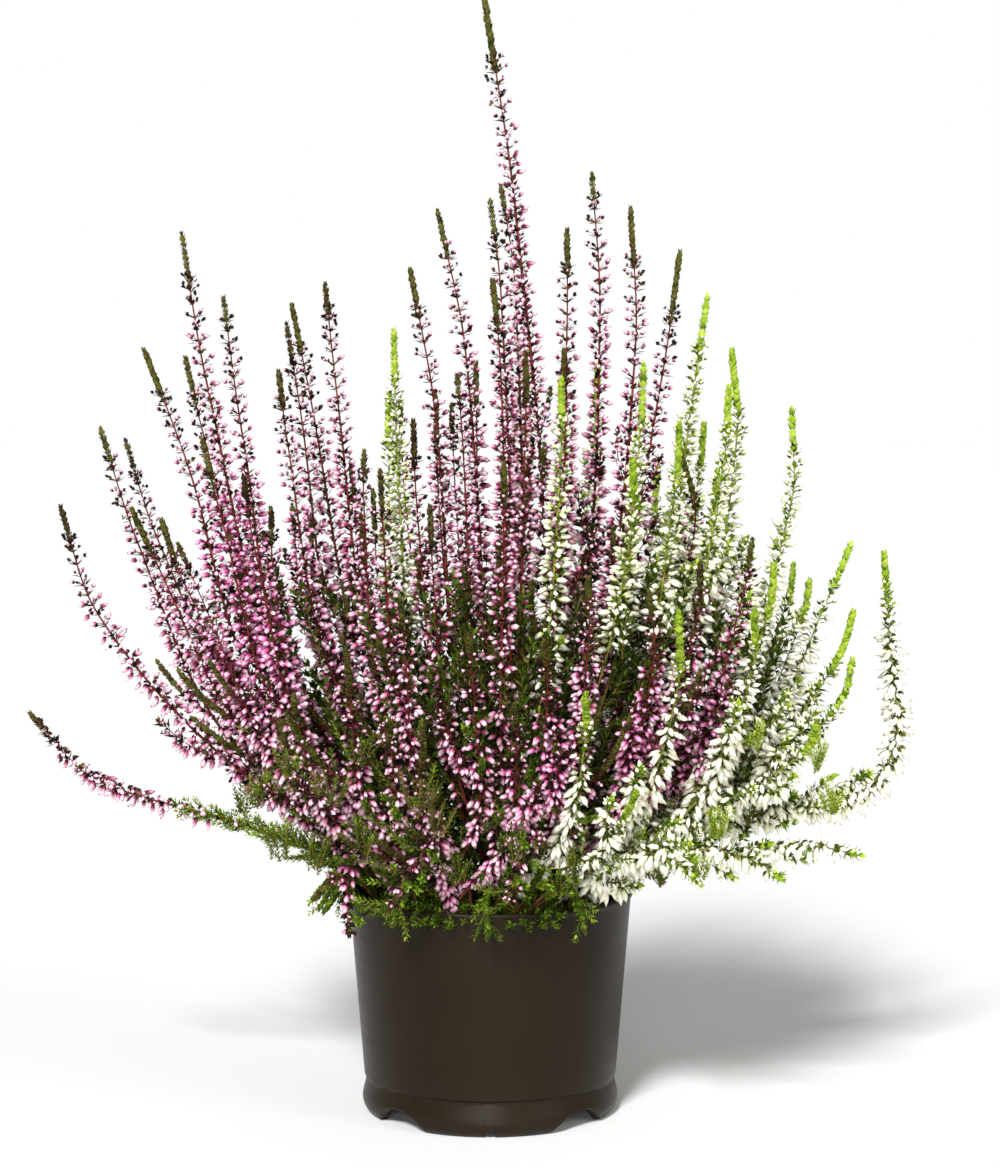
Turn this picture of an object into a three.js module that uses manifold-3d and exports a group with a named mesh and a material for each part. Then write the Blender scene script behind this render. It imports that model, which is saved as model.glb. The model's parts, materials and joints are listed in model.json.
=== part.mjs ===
// A bud-blooming heather in its pot: pink spikes on the left and in the middle, white
// ones on the right, all rising from the root ball in a round plastic container.
// Millimetres, +Z up, -Y to the front. All sizes below are counted from the pot's axis, at
// the level it stands on. The finished solids are then moved by AXIS, so that the origin
// lies on that level under the middle of the whole plant's outline.
import * as THREE from "three";
import { mergeVertices } from "three/addons/utils/BufferGeometryUtils.js";
import Module from "manifold-3d";

const wasm = await Module();
wasm.setup();

const AXIS = { x: 7.7, y: -9.8 }; // where the pot's axis stands in the finished part

// The container
const POT_HEIGHT = 81;
const RIM_RADIUS = 52.5;
const WALL = 1.2;
const POT_SIDES = 40;
const FLOOR_TOP = 7.6;
const LUG_SPREAD = 46.5; // degrees from the middle of a lug to the notch beside it
const DRAIN_RADIUS = 3.5;

// The root ball
const SOIL_TOP = 72;
const SOIL_GAP = 0.4;
const HOLE_DEPTH = 12;
const HOLE_GAP = 0.9; // from the corner of a foot to the corner of its hole
const FOOT_ROOM = 6.6; // between the middles of two feet
const UPRIGHT = 4; // a foot stands upright for this many steps

// The branches. Their courses are given as they look from the front, in the upright plane
// through the pot's axis, and each is then moved along the line of sight to its depth.
const EYE = { x: 3.7, y: -955, z: 251 };
const STEP = 4; // mm between the points of a course
const FOOT = 1.5; // half thickness of a woody stem where it enters the soil
const STEM = 1.0;
const CORE = 1.35; // half thickness of a spike between its flowers
const GAP = 1.5; // least room between two branches
const BUD = { pink: 5.2, white: 6.0, leafy: 2.6 };
const PITCH = { pink: 14.6, white: 14.2, leafy: 9.5 };
const TIP_LENGTH = 20; // the leafy end above the first buds
const BEND = 0.45; // how far a bare stem may stray from its course between two rings

// Each spray is one foot with one to three spikes. A spike is given by its tip (x, z), a
// point half way (x, z) and a low point (x, z), and by how far its tip stands behind the
// pot's axis (negative: before it).
const SPRAYS = [
  ["pink_left_tall", "pink", [-112, 320, -103, 265, -78, 165, 20], [-111, 275, -104, 245, -82, 165, 42]],
  ["pink_left_second", "pink", [-97, 297, -90, 245, -74, 160, 0], [-105, 245, -99, 220, -76, 140, -24]],
  ["pink_left_bent", "pink", [-126, 278, -110, 235, -86, 155, 5], [-120, 216, -113, 195, -84, 140, -14]],
  ["pink_left_outer", "pink", [-142, 249, -129, 208, -98, 138, 12], [-133, 245, -122, 210, -90, 142, 32]],
  ["pink_left_front", "pink", [-131, 220, -122, 200, -92, 140, -8], [-114, 207, -106, 188, -80, 130, -32]],
  ["pink_left_arch", "pink", [-157, 221, -144, 182, -104, 134, 2]],
  ["pink_left_low", "pink", [-169, 145, -146, 121, -90, 103, 8]],
  ["pink_left_inner", "pink", [-80, 220, -79, 195, -66, 130, -48], [-90, 232, -86, 205, -68, 135, -70]],
  ["pink_pair_left", "pink", [-77, 270, -74, 245, -60, 165, -16], [-74, 287, -69, 255, -56, 165, 16]],
  ["pink_pair_right", "pink", [-72, 294, -65, 258, -48, 165, 38], [-60, 302, -55, 255, -44, 165, 8]],
  ["pink_mid_low", "pink", [-46, 241, -46, 220, -40, 150, -34], [-40, 234, -39, 212, -34, 150, -56]],
  ["pink_mid_first", "pink", [-29, 307, -20, 255, -14, 170, 0], [-28, 252, -27, 225, -20, 150, -26]],
  ["pink_mid_second", "pink", [-19, 328, -9, 278, -2, 170, 22], [-14, 258, -13, 232, -8, 160, 48]],
  ["white_left", "white", [-35, 285, -34, 245, -28, 160, 16], [-37, 262, -37, 240, -34, 165, 34]],
  ["pink_mid_third", "pink", [-12, 269, -10, 245, -6, 160, -12], [-22, 221, -21, 198, -16, 140, -48]],
  ["pink_centre_left", "pink", [0, 332, 4, 298, 8, 180, 6], [1, 303, 4, 268, 6, 165, -18]],
  ["pink_tallest", "pink", [-2, 404, 9, 330, 20, 190, 20], [4, 337, 9, 302, 12, 190, 44]],
  ["pink_centre_low", "pink", [13, 276, 13, 252, 10, 160, -30], [5, 236, 5, 214, 4, 150, -56]],
  ["pink_dense", "pink", [28, 321, 28, 285, 24, 170, -2], [27, 277, 28, 252, 22, 160, -24]],
  ["pink_right_tall", "pink", [37, 341, 40, 290, 34, 180, 26], [51, 329, 53, 280, 42, 180, 8]],
  ["pink_right_outer", "pink", [69, 313, 63, 270, 46, 180, 22], [69, 243, 75, 215, 60, 150, -12]],
  ["white_centre", "white", [26, 267, 26, 242, 20, 160, -44], [52, 238, 52, 214, 38, 150, -46]],
  ["white_right_first", "white", [56, 272, 55, 250, 46, 165, -14], [69, 251, 68, 230, 54, 150, -32]],
  ["white_right_tall", "white", [79, 297, 74, 262, 60, 170, 26], [78, 251, 76, 230, 62, 160, 44]],
  ["white_right_second", "white", [88, 278, 90, 245, 74, 160, 6], [87, 264, 85, 235, 68, 155, -20]],
  ["white_right_third", "white", [110, 256, 110, 222, 86, 150, 2], [104, 200, 102, 182, 80, 130, -24]],
  ["pink_right_inner", "pink", [96, 209, 93, 190, 74, 130, -40], [77, 200, 76, 180, 60, 125, -58]],
  ["white_right_back", "white", [111, 200, 109, 186, 84, 130, 24], [117, 194, 114, 178, 88, 125, 42]],
  ["white_right_outer", "white", [132, 207, 125, 190, 96, 130, 42], [133, 182, 128, 166, 100, 126, -18]],
  ["white_right_front", "white", [97, 183, 96, 160, 76, 112, -56], [69, 182, 69, 155, 56, 112, -72]],
  ["white_right_low", "white", [133, 165, 129, 150, 100, 118, -28], [120, 142, 117, 132, 90, 113, -48]],
  ["pink_front_left", "pink", [-52, 162, -51, 145, -44, 108, -74], [-72, 152, -70, 136, -56, 104, -60]],
  ["pink_front_mid", "pink", [-33, 187, -31, 165, -26, 112, -70], [-8, 174, -6, 152, -4, 108, -72]],
  ["pink_front_centre", "pink", [9, 148, 10, 135, 8, 104, -84], [20, 172, 21, 150, 16, 108, -70]],
  ["pink_front_right", "pink", [36, 195, 36, 170, 28, 112, -64], [58, 190, 60, 165, 46, 110, -62]],
  ["pink_front_short", "pink", [-24, 133, -26, 118, -22, 96, -84], [-37, 142, -36, 128, -30, 98, -76]],
  ["white_front", "white", [35, 152, 35, 135, 28, 102, -80], [54, 116, 48, 103, 40, 92, -74]],
];

// The height above which a spray carries flowers is 104, but for these.
const LOWER = {
  pink_left_low: 92,
  white_right_low: 92,
  white_right_front: 92,
  white_right_outer: 94,
  white_right_third: 96,
};

// The back of the plant, which the front view hides: spikes by rule, x from left to right.
const BACK = {
  seed: 20251,
  sprays: 9,
  each: 2,
  across: 104,
  tallest: 292,
  fall: 0.0068,
  near: 58,
  far: 104,
};

// Sprays that lie low or hang over the rim: where the foot stands, the height from which
// they carry flowers, and for each spike its points (x, y, z) above the foot, up to the tip.
const LOW = [
  {
    node: "white_arch", colour: "white", foot: [28, 4], fixed: false, flowers: 100,
    courses: [[[58, 6, 96], [100, 7, 109], [134, 7, 115], [149, 6, 134], [147, 5, 165], [144, 5, 205]]],
  },
  {
    node: "white_low_right", colour: "white", foot: [36, -8], fixed: false, flowers: 92,
    courses: [
      [[60, -20, 91], [90, -28, 94], [116, -31, 97], [137, -29, 93]],
      [[64, 20, 98], [88, 30, 106], [110, 32, 112], [127, 32, 123]],
    ],
  },
  {
    node: "white_low_front", colour: "white", foot: [30, -25], fixed: true, flowers: 88,
    courses: [
      [[50, -41, 97], [70, -52, 104], [88, -57, 102], [102, -58, 94]],
      [[42, -45, 97], [54, -60, 104], [64, -69, 102], [72, -73, 95]],
    ],
  },
  {
    node: "pink_over_rim", colour: "pink", foot: [-13, -36], fixed: true, flowers: 88,
    courses: [
      [[-17, -47, 98], [-19, -58, 107], [-27, -66, 99], [-34, -71, 86]],
      [[2, -49, 99], [13, -59, 110], [11, -68, 102], [6, -74, 89]],
    ],
  },
  {
    node: "pink_left_rim", colour: "pink", foot: [-32, -20], fixed: true, flowers: 88,
    courses: [[[-39, -29, 97], [-46, -36, 101], [-50, -40, 91], [-49.5, -41, 71]]],
  },
];

// Leafy shoots that lean out over the rim: one node for each list, and in it the bearing of
// each shoot in degrees (0 to the right, -90 to the front).
const FRINGE = {
  seed: 4127,
  foot: 42.5,
  nodes: [
    [-74, -66, -82, -58, -90.5],
    [-128, -121],
    [-166, -158, -173],
    [162, 153, 169],
    [128, 116, 140, 104],
    [80, 68, 92, 56],
    [38, 48, 31],
  ],
};

const COLOURS = {
  pot: [0x30281f, 0.42],
  soil: [0x2a1d14, 0.96],
  pink: [0xcf6f93, 0.66],
  white: [0xe6e6c8, 0.62],
  leafy: [0x57702a, 0.72],
};

// Numbers between 0 and 1 that are the same each time.
function seeded(seed) {
  let a = seed >>> 0;
  return () => {
    a = (a + 0x6d2b79f5) >>> 0;
    let t = a;
    t = Math.imul(t ^ (t >>> 15), t | 1);
    t ^= t + Math.imul(t ^ (t >>> 7), t | 61);
    return ((t ^ (t >>> 14)) >>> 0) / 4294967296;
  };
}

const clamp = (v, lo, hi) => Math.min(hi, Math.max(lo, v));
const smooth = (a, b, v) => {
  const t = clamp((v - a) / (b - a), 0, 1);
  return t * t * (3 - 2 * t);
};

// Solids

function solid(geometry) {
  const bare = new THREE.BufferGeometry();
  const source = geometry.index ? geometry.toNonIndexed() : geometry;
  bare.setAttribute("position", source.getAttribute("position"));
  const merged = mergeVertices(bare, 1e-4);
  return new wasm.Manifold(
    new wasm.Mesh({
      numProp: 3,
      vertProperties: new Float32Array(merged.attributes.position.array),
      triVerts: new Uint32Array(merged.index.array),
    }),
  );
}

function geometryOf(manifold) {
  const mesh = manifold.getMesh();
  const positions = new Float32Array(mesh.numVert * 3);
  for (let i = 0; i < mesh.numVert; i++)
    for (let c = 0; c < 3; c++) positions[3 * i + c] = mesh.vertProperties[mesh.numProp * i + c];
  const geometry = new THREE.BufferGeometry();
  geometry.setAttribute("position", new THREE.BufferAttribute(positions, 3));
  geometry.setIndex(new THREE.BufferAttribute(new Uint32Array(mesh.triVerts), 1));
  geometry.computeVertexNormals();
  return geometry;
}

// A body turned about Z from [radius, height] points that run upwards along its outside.
function turned(profile, sides) {
  const points = profile.map(([r, z]) => new THREE.Vector2(r, z));
  const geometry = new THREE.LatheGeometry(points, sides);
  geometry.rotateX(Math.PI / 2);
  return geometry;
}

// The container: a tapered wall with a rolled lip, a low step above the foot, and a foot
// ring that four arched notches divide into four lugs, each with a nick in its middle.
function pot() {
  const profile = [
    [0, 6], [41.6, 6], [42.4, 0], [44.6, 0], [46.7, 2.4], [47.1, 4.8], [46.2, 9.2], [45.5, 12.4],
    [46.4, 13.2], [51.8, POT_HEIGHT - 2.2], [RIM_RADIUS, POT_HEIGHT - 1.6],
    [RIM_RADIUS, POT_HEIGHT - 0.4], [RIM_RADIUS - 0.5, POT_HEIGHT], [50.9, POT_HEIGHT],
    [50.5, POT_HEIGHT - 1.2], [46.4 - WALL, 14.2], [43.4, FLOOR_TOP], [0, FLOOR_TOP],
  ];
  let body = solid(turned(profile, POT_SIDES));
  const notch = new THREE.Shape();
  [[-14, -1], [-13.6, 0], [-6.5, 5.4], [0, 7], [7, 5.6], [13.6, 0], [14, -1]].forEach(([x, y], i) =>
    i ? notch.lineTo(x, y) : notch.moveTo(x, y),
  );
  notch.closePath();
  for (let k = 0; k < 4; k++) {
    const turn = THREE.MathUtils.degToRad(90 * k + LUG_SPREAD - 1.5);
    const arch = new THREE.ExtrudeGeometry(notch, { depth: 22, bevelEnabled: false });
    arch.rotateX(Math.PI / 2);
    arch.translate(0, 60, 0);
    arch.rotateZ(turn);
    body = body.subtract(solid(arch));
    const nick = new THREE.BoxGeometry(4, 12, 4);
    nick.translate(0, -44, 0);
    nick.rotateZ((Math.PI / 2) * k);
    body = body.subtract(solid(nick));
    const drain = new THREE.CylinderGeometry(DRAIN_RADIUS, DRAIN_RADIUS, 6, 8);
    drain.rotateX(Math.PI / 2);
    drain.translate(0, 27, 7);
    drain.rotateZ((Math.PI / 2) * (k + 0.5));
    body = body.subtract(solid(drain));
  }
  return geometryOf(body);
}

// The root ball, with an uneven top and a plain hole for each woody foot.
function soil(feet) {
  const rise = (r, a) =>
    SOIL_TOP + 1.1 * Math.sin(3 * a + r / 9) * smooth(4, 30, r) - 1.6 * smooth(36, 49, r);
  const side = (z) =>
    46.4 - WALL + ((z - 14.2) / (POT_HEIGHT - 1.2 - 14.2)) * (50.5 - 46.4 + WALL) - SOIL_GAP;
  const rings = [[SOIL_TOP, 18], [SOIL_TOP, 38], [SOIL_TOP, side(SOIL_TOP)]];
  const profile = [[0, 8.2], [42.6, 8.2], [side(14.2), 14.2], [side(SOIL_TOP), SOIL_TOP]];
  for (let k = rings.length - 2; k >= 0; k--) profile.push([rings[k][1], SOIL_TOP + 0.01 * (4 - k)]);
  profile.push([0, SOIL_TOP + 0.06]);
  const geometry = turned(profile, 24);
  const at = geometry.attributes.position;
  for (let i = 0; i < at.count; i++) {
    const [x, y, z] = [at.getX(i), at.getY(i), at.getZ(i)];
    if (z >= SOIL_TOP - 1e-3) at.setZ(i, rise(Math.hypot(x, y), Math.atan2(y, x)));
  }
  let body = solid(geometry);
  for (const [x, y, half] of feet) {
    const outline = new THREE.Shape();
    for (let k = 0; k < 3; k++) {
      const a = (2 * Math.PI * k) / 3;
      const [u, v] = [x + (half + HOLE_GAP) * Math.cos(a), y + (half + HOLE_GAP) * Math.sin(a)];
      if (k) outline.lineTo(u, v);
      else outline.moveTo(u, v);
    }
    const hole = new THREE.ExtrudeGeometry(outline, { depth: 2 * HOLE_DEPTH, bevelEnabled: false });
    hole.translate(0, 0, SOIL_TOP - HOLE_DEPTH);
    body = body.subtract(solid(hole));
  }
  return geometryOf(body);
}

// Courses

// Points every STEP along a smooth line through the given ones, upright where it starts
// if the first span is a foot in the soil.
function course(points) {
  const chord = [0];
  for (let i = 1; i < points.length; i++)
    chord.push(chord[i - 1] + Math.hypot(...points[i].map((v, c) => v - points[i - 1][c])));
  const slope = points.map((p, i) => {
    const a = Math.max(0, i - 1), b = Math.min(points.length - 1, i + 1);
    return p.map((_, c) => (points[b][c] - points[a][c]) / (chord[b] - chord[a]));
  });
  const fine = [];
  for (let i = 0; i + 1 < points.length; i++) {
    const h = chord[i + 1] - chord[i];
    for (let k = i ? 1 : 0; k <= 16; k++) {
      const t = k / 16, t2 = t * t, t3 = t2 * t;
      fine.push(points[i].map((p, c) =>
        (2 * t3 - 3 * t2 + 1) * p + (t3 - 2 * t2 + t) * h * slope[i][c] +
        (3 * t2 - 2 * t3) * points[i + 1][c] + (t3 - t2) * h * slope[i + 1][c]));
    }
  }
  const run = [0];
  for (let i = 1; i < fine.length; i++)
    run.push(run[i - 1] + Math.hypot(...fine[i].map((v, c) => v - fine[i - 1][c])));
  const total = run[run.length - 1], count = Math.round(total / STEP);
  const out = [];
  let j = 0;
  for (let k = 0; k <= count; k++) {
    const s = (total * k) / count;
    while (j < run.length - 2 && run[j + 1] < s) j++;
    const t = clamp((s - run[j]) / (run[j + 1] - run[j]), 0, 1);
    out.push(fine[j].map((v, c) => v + t * (fine[j + 1][c] - v)));
  }
  return out;
}

// From where a point is seen to where it is.
const placed = ([x, y, z]) => {
  const k = (y - EYE.y) / -EYE.y;
  return [EYE.x + (x - EYE.x) * k, y, EYE.z + (z - EYE.z) * k];
};

// Where on the soil a branch that ends at (x, depth) is rooted.
const rooted = (x, depth) => {
  const [rx, ry] = [0.3 * x, 0.44 * depth];
  const r = Math.hypot(rx, ry);
  const k = r > 37 ? 37 / r : 1;
  return [rx * k, ry * k];
};

// Every spike: its node, colour, course and half thickness along it.
function branches() {
  const draw = seeded(BACK.seed);
  const sprays = SPRAYS.map(([node, colour, ...list]) => ({ node, colour, list }));
  for (let k = 0; k < BACK.sprays; k++) {
    const list = [];
    for (let n = 0; n < BACK.each; n++) {
      const share = (k + (n + 0.5) / BACK.each) / BACK.sprays;
      const x = BACK.across * (2 * share - 1) + 8 * (draw() - 0.5);
      const top = BACK.tallest - BACK.fall * x * x - 74 * draw() - (n === 1 ? 26 : 0);
      const d = BACK.near + (BACK.far - BACK.near) * draw();
      list.push([x, top, 0.93 * x, top - 42, 0.66 * x, top - 0.62 * (top - 96), d]);
    }
    sprays.push({ node: "back_" + (k + 1), colour: k < 5 ? "pink" : "white", list });
  }
  // The feet, spread until each has room
  const roots = sprays.map(({ list }) => rooted(list[0][4], list[0][6]));
  LOW.forEach(({ foot }) => roots.push([...foot]));
  for (let turn = 0; turn < 60; turn++)
    for (let a = 0; a < roots.length; a++)
      for (let b = a + 1; b < roots.length; b++) {
        const dx = roots[b][0] - roots[a][0], dy = roots[b][1] - roots[a][1];
        const d = Math.hypot(dx, dy) || 1;
        if (d >= FOOT_ROOM) continue;
        const push = (FOOT_ROOM - d) / 2 / d;
        roots[a] = [roots[a][0] - dx * push, roots[a][1] - dy * push];
        roots[b] = [roots[b][0] + dx * push, roots[b][1] + dy * push];
      }
  const spikes = [];
  const add = (node, colour, points, extra) => {
    const seen = course(points), flowers = LOWER[node] ?? 104;
    spikes.push({ node, colour, seen, fixed: false, flowers, phase: draw(), forks: [], ...extra });
    if (extra.parent !== undefined) spikes[extra.parent].forks.push(extra.on);
    return spikes.length - 1;
  };
  const below = ([x, y]) => [[x, y, SOIL_TOP - 10], [x, y, SOIL_TOP - 10 + STEP * UPRIGHT]];
  sprays.forEach(({ node, colour, list }, m) => {
    let first = -1;
    list.forEach(([tx, tz, mx, mz, lx, lz, d], n) => {
      const up = 1; // these heights are read with the rim at 80
      const upper = [[lx, 0.64 * d, lz + up], [mx, 0.84 * d, mz + up], [tx, d, tz + up]];
      if (n === 0) first = add(node, colour, [...below(roots[m]), ...upper], { foot: roots[m] });
      else {
        const on = 6 + (n % 2) + (Math.abs(lx) > 60 ? 1 : 0);
        add(node, colour, [spikes[first].seen[on], ...upper], { parent: first, on });
      }
    });
  });
  LOW.forEach(({ node, colour, fixed, flowers, courses }, m) => {
    const foot = roots[sprays.length + m];
    let first = -1;
    courses.forEach((points, n) => {
      if (n === 0) first = add(node, colour, [...below(foot), ...points], { fixed, flowers, foot });
      else add(node, colour, [spikes[first].seen[5], ...points], { fixed, flowers, parent: first, on: 5 });
    });
  });
  const turn = seeded(FRINGE.seed);
  FRINGE.nodes.forEach((bearings, k) => {
    const mid = THREE.MathUtils.degToRad(bearings[0]);
    const foot = [FRINGE.foot * Math.cos(mid), FRINGE.foot * Math.sin(mid)];
    let first = -1;
    bearings.forEach((bearing, n) => {
      const a = THREE.MathUtils.degToRad(bearing);
      const at = (r, z) => [r * Math.cos(a), r * Math.sin(a), z];
      const out = turn(), up = turn();
      const over = at(53.5, 88 + 3 * up);
      const end = up < 0.6 ? at(62 + 5 * out, 74 + 5 * out) : at(64 + 5 * out, 95 + 6 * out);
      const extra = { fixed: true, flowers: 79 };
      const node = "fringe_" + (k + 1);
      if (n === 0) first = add(node, "leafy", [...below(foot), over, end], { ...extra, foot });
      else add(node, "leafy", [spikes[first].seen[4], over, end], { ...extra, parent: first, on: 4 });
    });
  });
  return spikes;
}

// Half thickness of a spike without its neighbours: a leafy end, buds that grow downwards
// and a bare stem below them.
function fullness(spike) {
  const last = spike.seen.length - 1;
  return spike.seen.map((p, k) => {
    const u = (last - k) * STEP;
    if (spike.colour === "leafy")
      return Math.max(STEM, BUD.leafy * smooth(0, 9, u) * smooth(spike.flowers, spike.flowers + 8, p[2]));
    const tip = 1.9 * smooth(-2, 9, u);
    const buds = (BUD[spike.colour] - 1.9) * (0.45 * smooth(TIP_LENGTH - 4, TIP_LENGTH + 6, u) +
      0.55 * smooth(TIP_LENGTH + 4, TIP_LENGTH + 75, u));
    const low = smooth(spike.flowers - 10, spike.flowers + 10, p[2]);
    return Math.max(p[2] < SOIL_TOP + 4 ? FOOT : STEM, (tip + buds) * low);
  });
}

// Moves the branches apart along the line of sight until none crosses another, and thins
// what is still too near.
function parted(spikes) {
  const all = [];
  spikes.forEach((s, i) => {
    s.half = fullness(s);
    s.first = all.length;
    s.seen.forEach((p, k) => all.push({ i, k, p, r: s.half[k] }));
  });
  const y = all.map((a) => a.p[1]);
  const put = (n) => placed([all[n].p[0], y[n], all[n].p[2]]);
  const real = (n) => {
    const s = spikes[all[n].i];
    if (s.fixed) return [...all[n].p];
    return s.foot && all[n].k <= UPRIGHT ? [s.foot[0], s.foot[1], all[n].p[2]] : put(n);
  };
  const kin = (a, b) => spikes[a.i].node === spikes[b.i].node && (a.p[2] < 112 || b.p[2] < 112);
  const near = (at) => {
    const order = all.map((_, n) => n).sort((a, b) => at[a][0] - at[b][0] || a - b);
    const pairs = [];
    order.forEach((a, m) => {
      for (let q = m + 1; q < order.length && at[order[q]][0] - at[a][0] < 15; q++) {
        const b = order[q];
        const [lo, hi] = a < b ? [a, b] : [b, a];
        if (all[lo].i === all[hi].i || kin(all[lo], all[hi])) continue;
        if (spikes[all[lo].i].fixed && spikes[all[hi].i].fixed) continue;
        const d = all[lo].r + all[hi].r + GAP;
        const flat = (at[lo][0] - at[hi][0]) ** 2 + (at[lo][2] - at[hi][2]) ** 2;
        if (flat < d * d) pairs.push([lo, hi, Math.sqrt(d * d - flat)]);
      }
    });
    return pairs.sort((a, b) => a[0] - b[0] || a[1] - b[1]);
  };
  for (let pass = 0; pass < 4; pass++) {
    const pairs = near(all.map((_, n) => real(n)));
    const side = new Map();
    const key = (a, b) => all[a].i * 1000 + all[b].i;
    for (const [a, b] of pairs) side.set(key(a, b), (side.get(key(a, b)) ?? 1e-6) + y[b] - y[a]);
    for (let turn = 0; turn < 40; turn++) {
      const shift = new Float64Array(all.length), hits = new Float64Array(all.length);
      for (const [a, b, need] of pairs) {
        const s = side.get(key(a, b)) > 0 ? 1 : -1;
        const lack = need - s * (y[b] - y[a]);
        if (lack <= 0) continue;
        const heldA = spikes[all[a].i].fixed, heldB = spikes[all[b].i].fixed;
        const half = heldA || heldB ? lack : lack / 2;
        if (!heldA) (shift[a] -= s * half), hits[a]++;
        if (!heldB) (shift[b] += s * half), hits[b]++;
      }
      for (let n = 0; n < all.length; n++) if (hits[n]) y[n] += (0.7 * shift[n]) / hits[n];
      for (const s of spikes) {
        if (s.fixed) continue;
        const old = s.seen.map((_, k) => y[s.first + k]);
        for (let k = s.foot ? UPRIGHT + 1 : 1; k < old.length; k++)
          y[s.first + k] += 0.22 * (old[k - 1] + (old[k + 1] ?? 2 * old[k] - old[k - 1]) - 2 * old[k]);
        if (s.foot) for (let k = 0; k <= UPRIGHT; k++) y[s.first + k] = s.foot[1];
        if (s.parent !== undefined) {
          const lead = y[spikes[s.parent].first + s.on] - y[s.first];
          for (let k = 0; k < 4; k++) y[s.first + k] += lead * (1 - k / 4);
        }
      }
    }
  }
  spikes.forEach((s) => {
    s.points = s.seen.map((_, k) => real(s.first + k));
    if (s.foot)
      for (let k = 0; k <= UPRIGHT; k++) s.points[k] = [s.foot[0], s.foot[1], s.seen[k][2]];
    if (s.parent !== undefined) {
      const lead = spikes[s.parent].points[s.on].map((v, c) => v - s.points[0][c]);
      for (let k = 0; k < 4; k++) s.points[k] = s.points[k].map((v, c) => v + lead[c] * (1 - k / 4));
    }
  });
  const at = spikes.flatMap((s) => s.points);
  const room = all.map((a) => a.r);
  let worst = 1e9;
  for (let a = 0; a < all.length; a++)
    for (let b = a + 1; b < all.length; b++) {
      if (all[a].i === all[b].i || spikes[all[a].i].node === spikes[all[b].i].node) continue;
      if (Math.abs(at[a][0] - at[b][0]) > 14 || Math.abs(at[a][2] - at[b][2]) > 14) continue;
      const d = Math.hypot(at[a][0] - at[b][0], at[a][1] - at[b][1], at[a][2] - at[b][2]);
      const sum = all[a].r + all[b].r;
      if (d >= sum + GAP) continue;
      const k = (d - 0.8 * GAP) / sum;
      worst = Math.min(worst, d - 2 * STEM);
      room[a] = Math.max(STEM * 0.9, Math.min(room[a], all[a].r * k));
      room[b] = Math.max(STEM * 0.9, Math.min(room[b], all[b].r * k));
    }
  spikes.forEach((s) => (s.half = s.points.map((_, k) => room[s.first + k])));
  return worst;
}

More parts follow.
